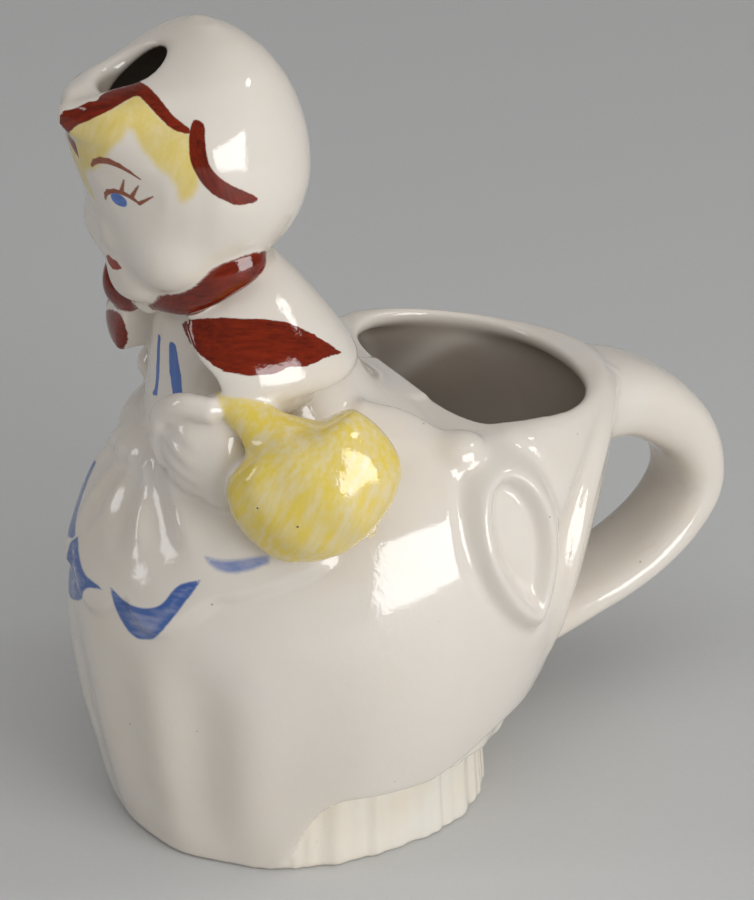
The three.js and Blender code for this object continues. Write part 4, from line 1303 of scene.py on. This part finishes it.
def place_camera():
    """The photograph's view: from her left and above, with the jug a little left of the frame's middle."""
    turn, rise = math.radians(60), math.radians(27)
    back = Vector((math.sin(turn) * math.cos(rise), -math.cos(turn) * math.cos(rise), math.sin(rise)))
    camera = bpy.data.objects.new("camera", bpy.data.cameras.new("camera"))
    bpy.context.scene.collection.objects.link(camera)
    target, distance = Vector((0, 0.008, 0.058)), 0.7
    camera.location = target + back * distance
    camera.rotation_euler = back.to_track_quat("Z", "Y").to_euler()
    frame_height, focal, aside = 900, 4389, 35
    data = camera.data
    data.sensor_width = 36
    data.lens = focal / frame_height * data.sensor_width
    data.shift_x = aside / frame_height
    data.clip_start, data.clip_end = 0.01, 20
    bpy.context.scene.camera = camera
    return back


class CREAMER_OT_stage(bpy.types.Operator):
    """Set the table, the lamps and the camera."""

    bl_idname = "creamer.stage"
    bl_label = "Set the stage"

    def execute(self, context):
        s = context.scene.creamer_stage
        back = place_camera()
        # a table that sweeps up into a wall, turned to face the camera
        flat = Vector((back.x, back.y, 0)).normalized()
        side = Vector((-flat.y, flat.x, 0))
        front, bend, high, half_width = 2.2, 0.5, 2.4, 2.4
        profile = [(front, 0.0), (-bend, 0.0)]
        profile += [(-bend - bend * math.sin(a), bend - bend * math.cos(a))
                    for a in np.linspace(0.1, math.pi / 2, 12)]
        profile += [(-2 * bend, high)]
        points = [tuple(flat * along + side * wide + Vector((0, 0, rise)))
                  for along, rise in profile for wide in (-half_width, half_width)]
        faces = [(2 * i, 2 * i + 1, 2 * i + 3, 2 * i + 2) for i in range(len(profile) - 1)]
        mesh = bpy.data.meshes.new("table")
        mesh.from_pydata(points, [], faces)
        for face in mesh.polygons:
            face.use_smooth = True
        sweep = bpy.data.objects.new("table", mesh)
        context.scene.collection.objects.link(sweep)
        material = bpy.data.materials.new("table_paper")
        material.use_nodes = True
        w = Wires(material.node_tree)
        place = material.node_tree.nodes.new("ShaderNodeTexCoord").outputs["Object"]
        fibre = w.noise(place, 900.0, 2.0, 0.6)
        shader = material.node_tree.nodes["Principled BSDF"]
        w.put(shader.inputs["Base Color"],
              w.mix(fibre, colour(shade(s.table, 0.97)), colour(shade(s.table, 1.03))))
        shader.inputs["Roughness"].default_value = 0.6
        sweep.data.materials.append(material)
        sweep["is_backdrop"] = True
        for name, toward_lamp, distance, size, power in LAMPS:
            lamp = area_lamp(name, toward_lamp, distance, size, power * s.lamps)
            lamp.visible_diffuse = name not in UNLIT
            lamp.visible_glossy = name not in UNMIRRORED
        world = bpy.data.worlds.new("room")
        world.use_nodes = True
        world.node_tree.nodes["Background"].inputs["Color"].default_value = (0.62, 0.62, 0.63, 1)
        world.node_tree.nodes["Background"].inputs["Strength"].default_value = 0.24
        context.scene.world = world
        context.scene.view_settings.view_transform = "Standard"
        return {"FINISHED"}


class CREAMER_PT_panel(bpy.types.Panel):
    """Steps of making the jug, in order."""

    bl_label = "Creamer"
    bl_idname = "CREAMER_PT_panel"
    bl_space_type = "VIEW_3D"
    bl_region_type = "UI"
    bl_category = "Creamer"

    def draw(self, context):
        for group_name, kind in SETTINGS:
            box = self.layout.box()
            for label in kind.__annotations__:
                box.prop(getattr(context.scene, group_name), label)
        for step in STEPS:
            self.layout.operator(step.bl_idname)


SETTINGS = [("creamer_sizes", CreamerSizes), ("creamer_glazes", CreamerGlazes), ("creamer_stage", CreamerStage)]
STEPS = [CREAMER_OT_cast, CREAMER_OT_glaze_plain, CREAMER_OT_paint_head, CREAMER_OT_paint_bust,
         CREAMER_OT_paint_bag, CREAMER_OT_paint_apron, CREAMER_OT_stage]


def register():
    for cls in [kind for _, kind in SETTINGS] + STEPS + [CREAMER_PT_panel]:
        bpy.utils.register_class(cls)
    for name, kind in SETTINGS:
        setattr(bpy.types.Scene, name, bpy.props.PointerProperty(type=kind))


def unregister():
    for name, _ in SETTINGS:
        delattr(bpy.types.Scene, name)
    for cls in [CREAMER_PT_panel] + STEPS[::-1] + [kind for _, kind in SETTINGS]:
        bpy.utils.unregister_class(cls)


def main():
    register()
    for step in STEPS:
        area, action = step.bl_idname.split(".")
        getattr(getattr(bpy.ops, area), action)()
    box = [list(corner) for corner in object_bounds()]


if __name__ == "__main__":
    main()
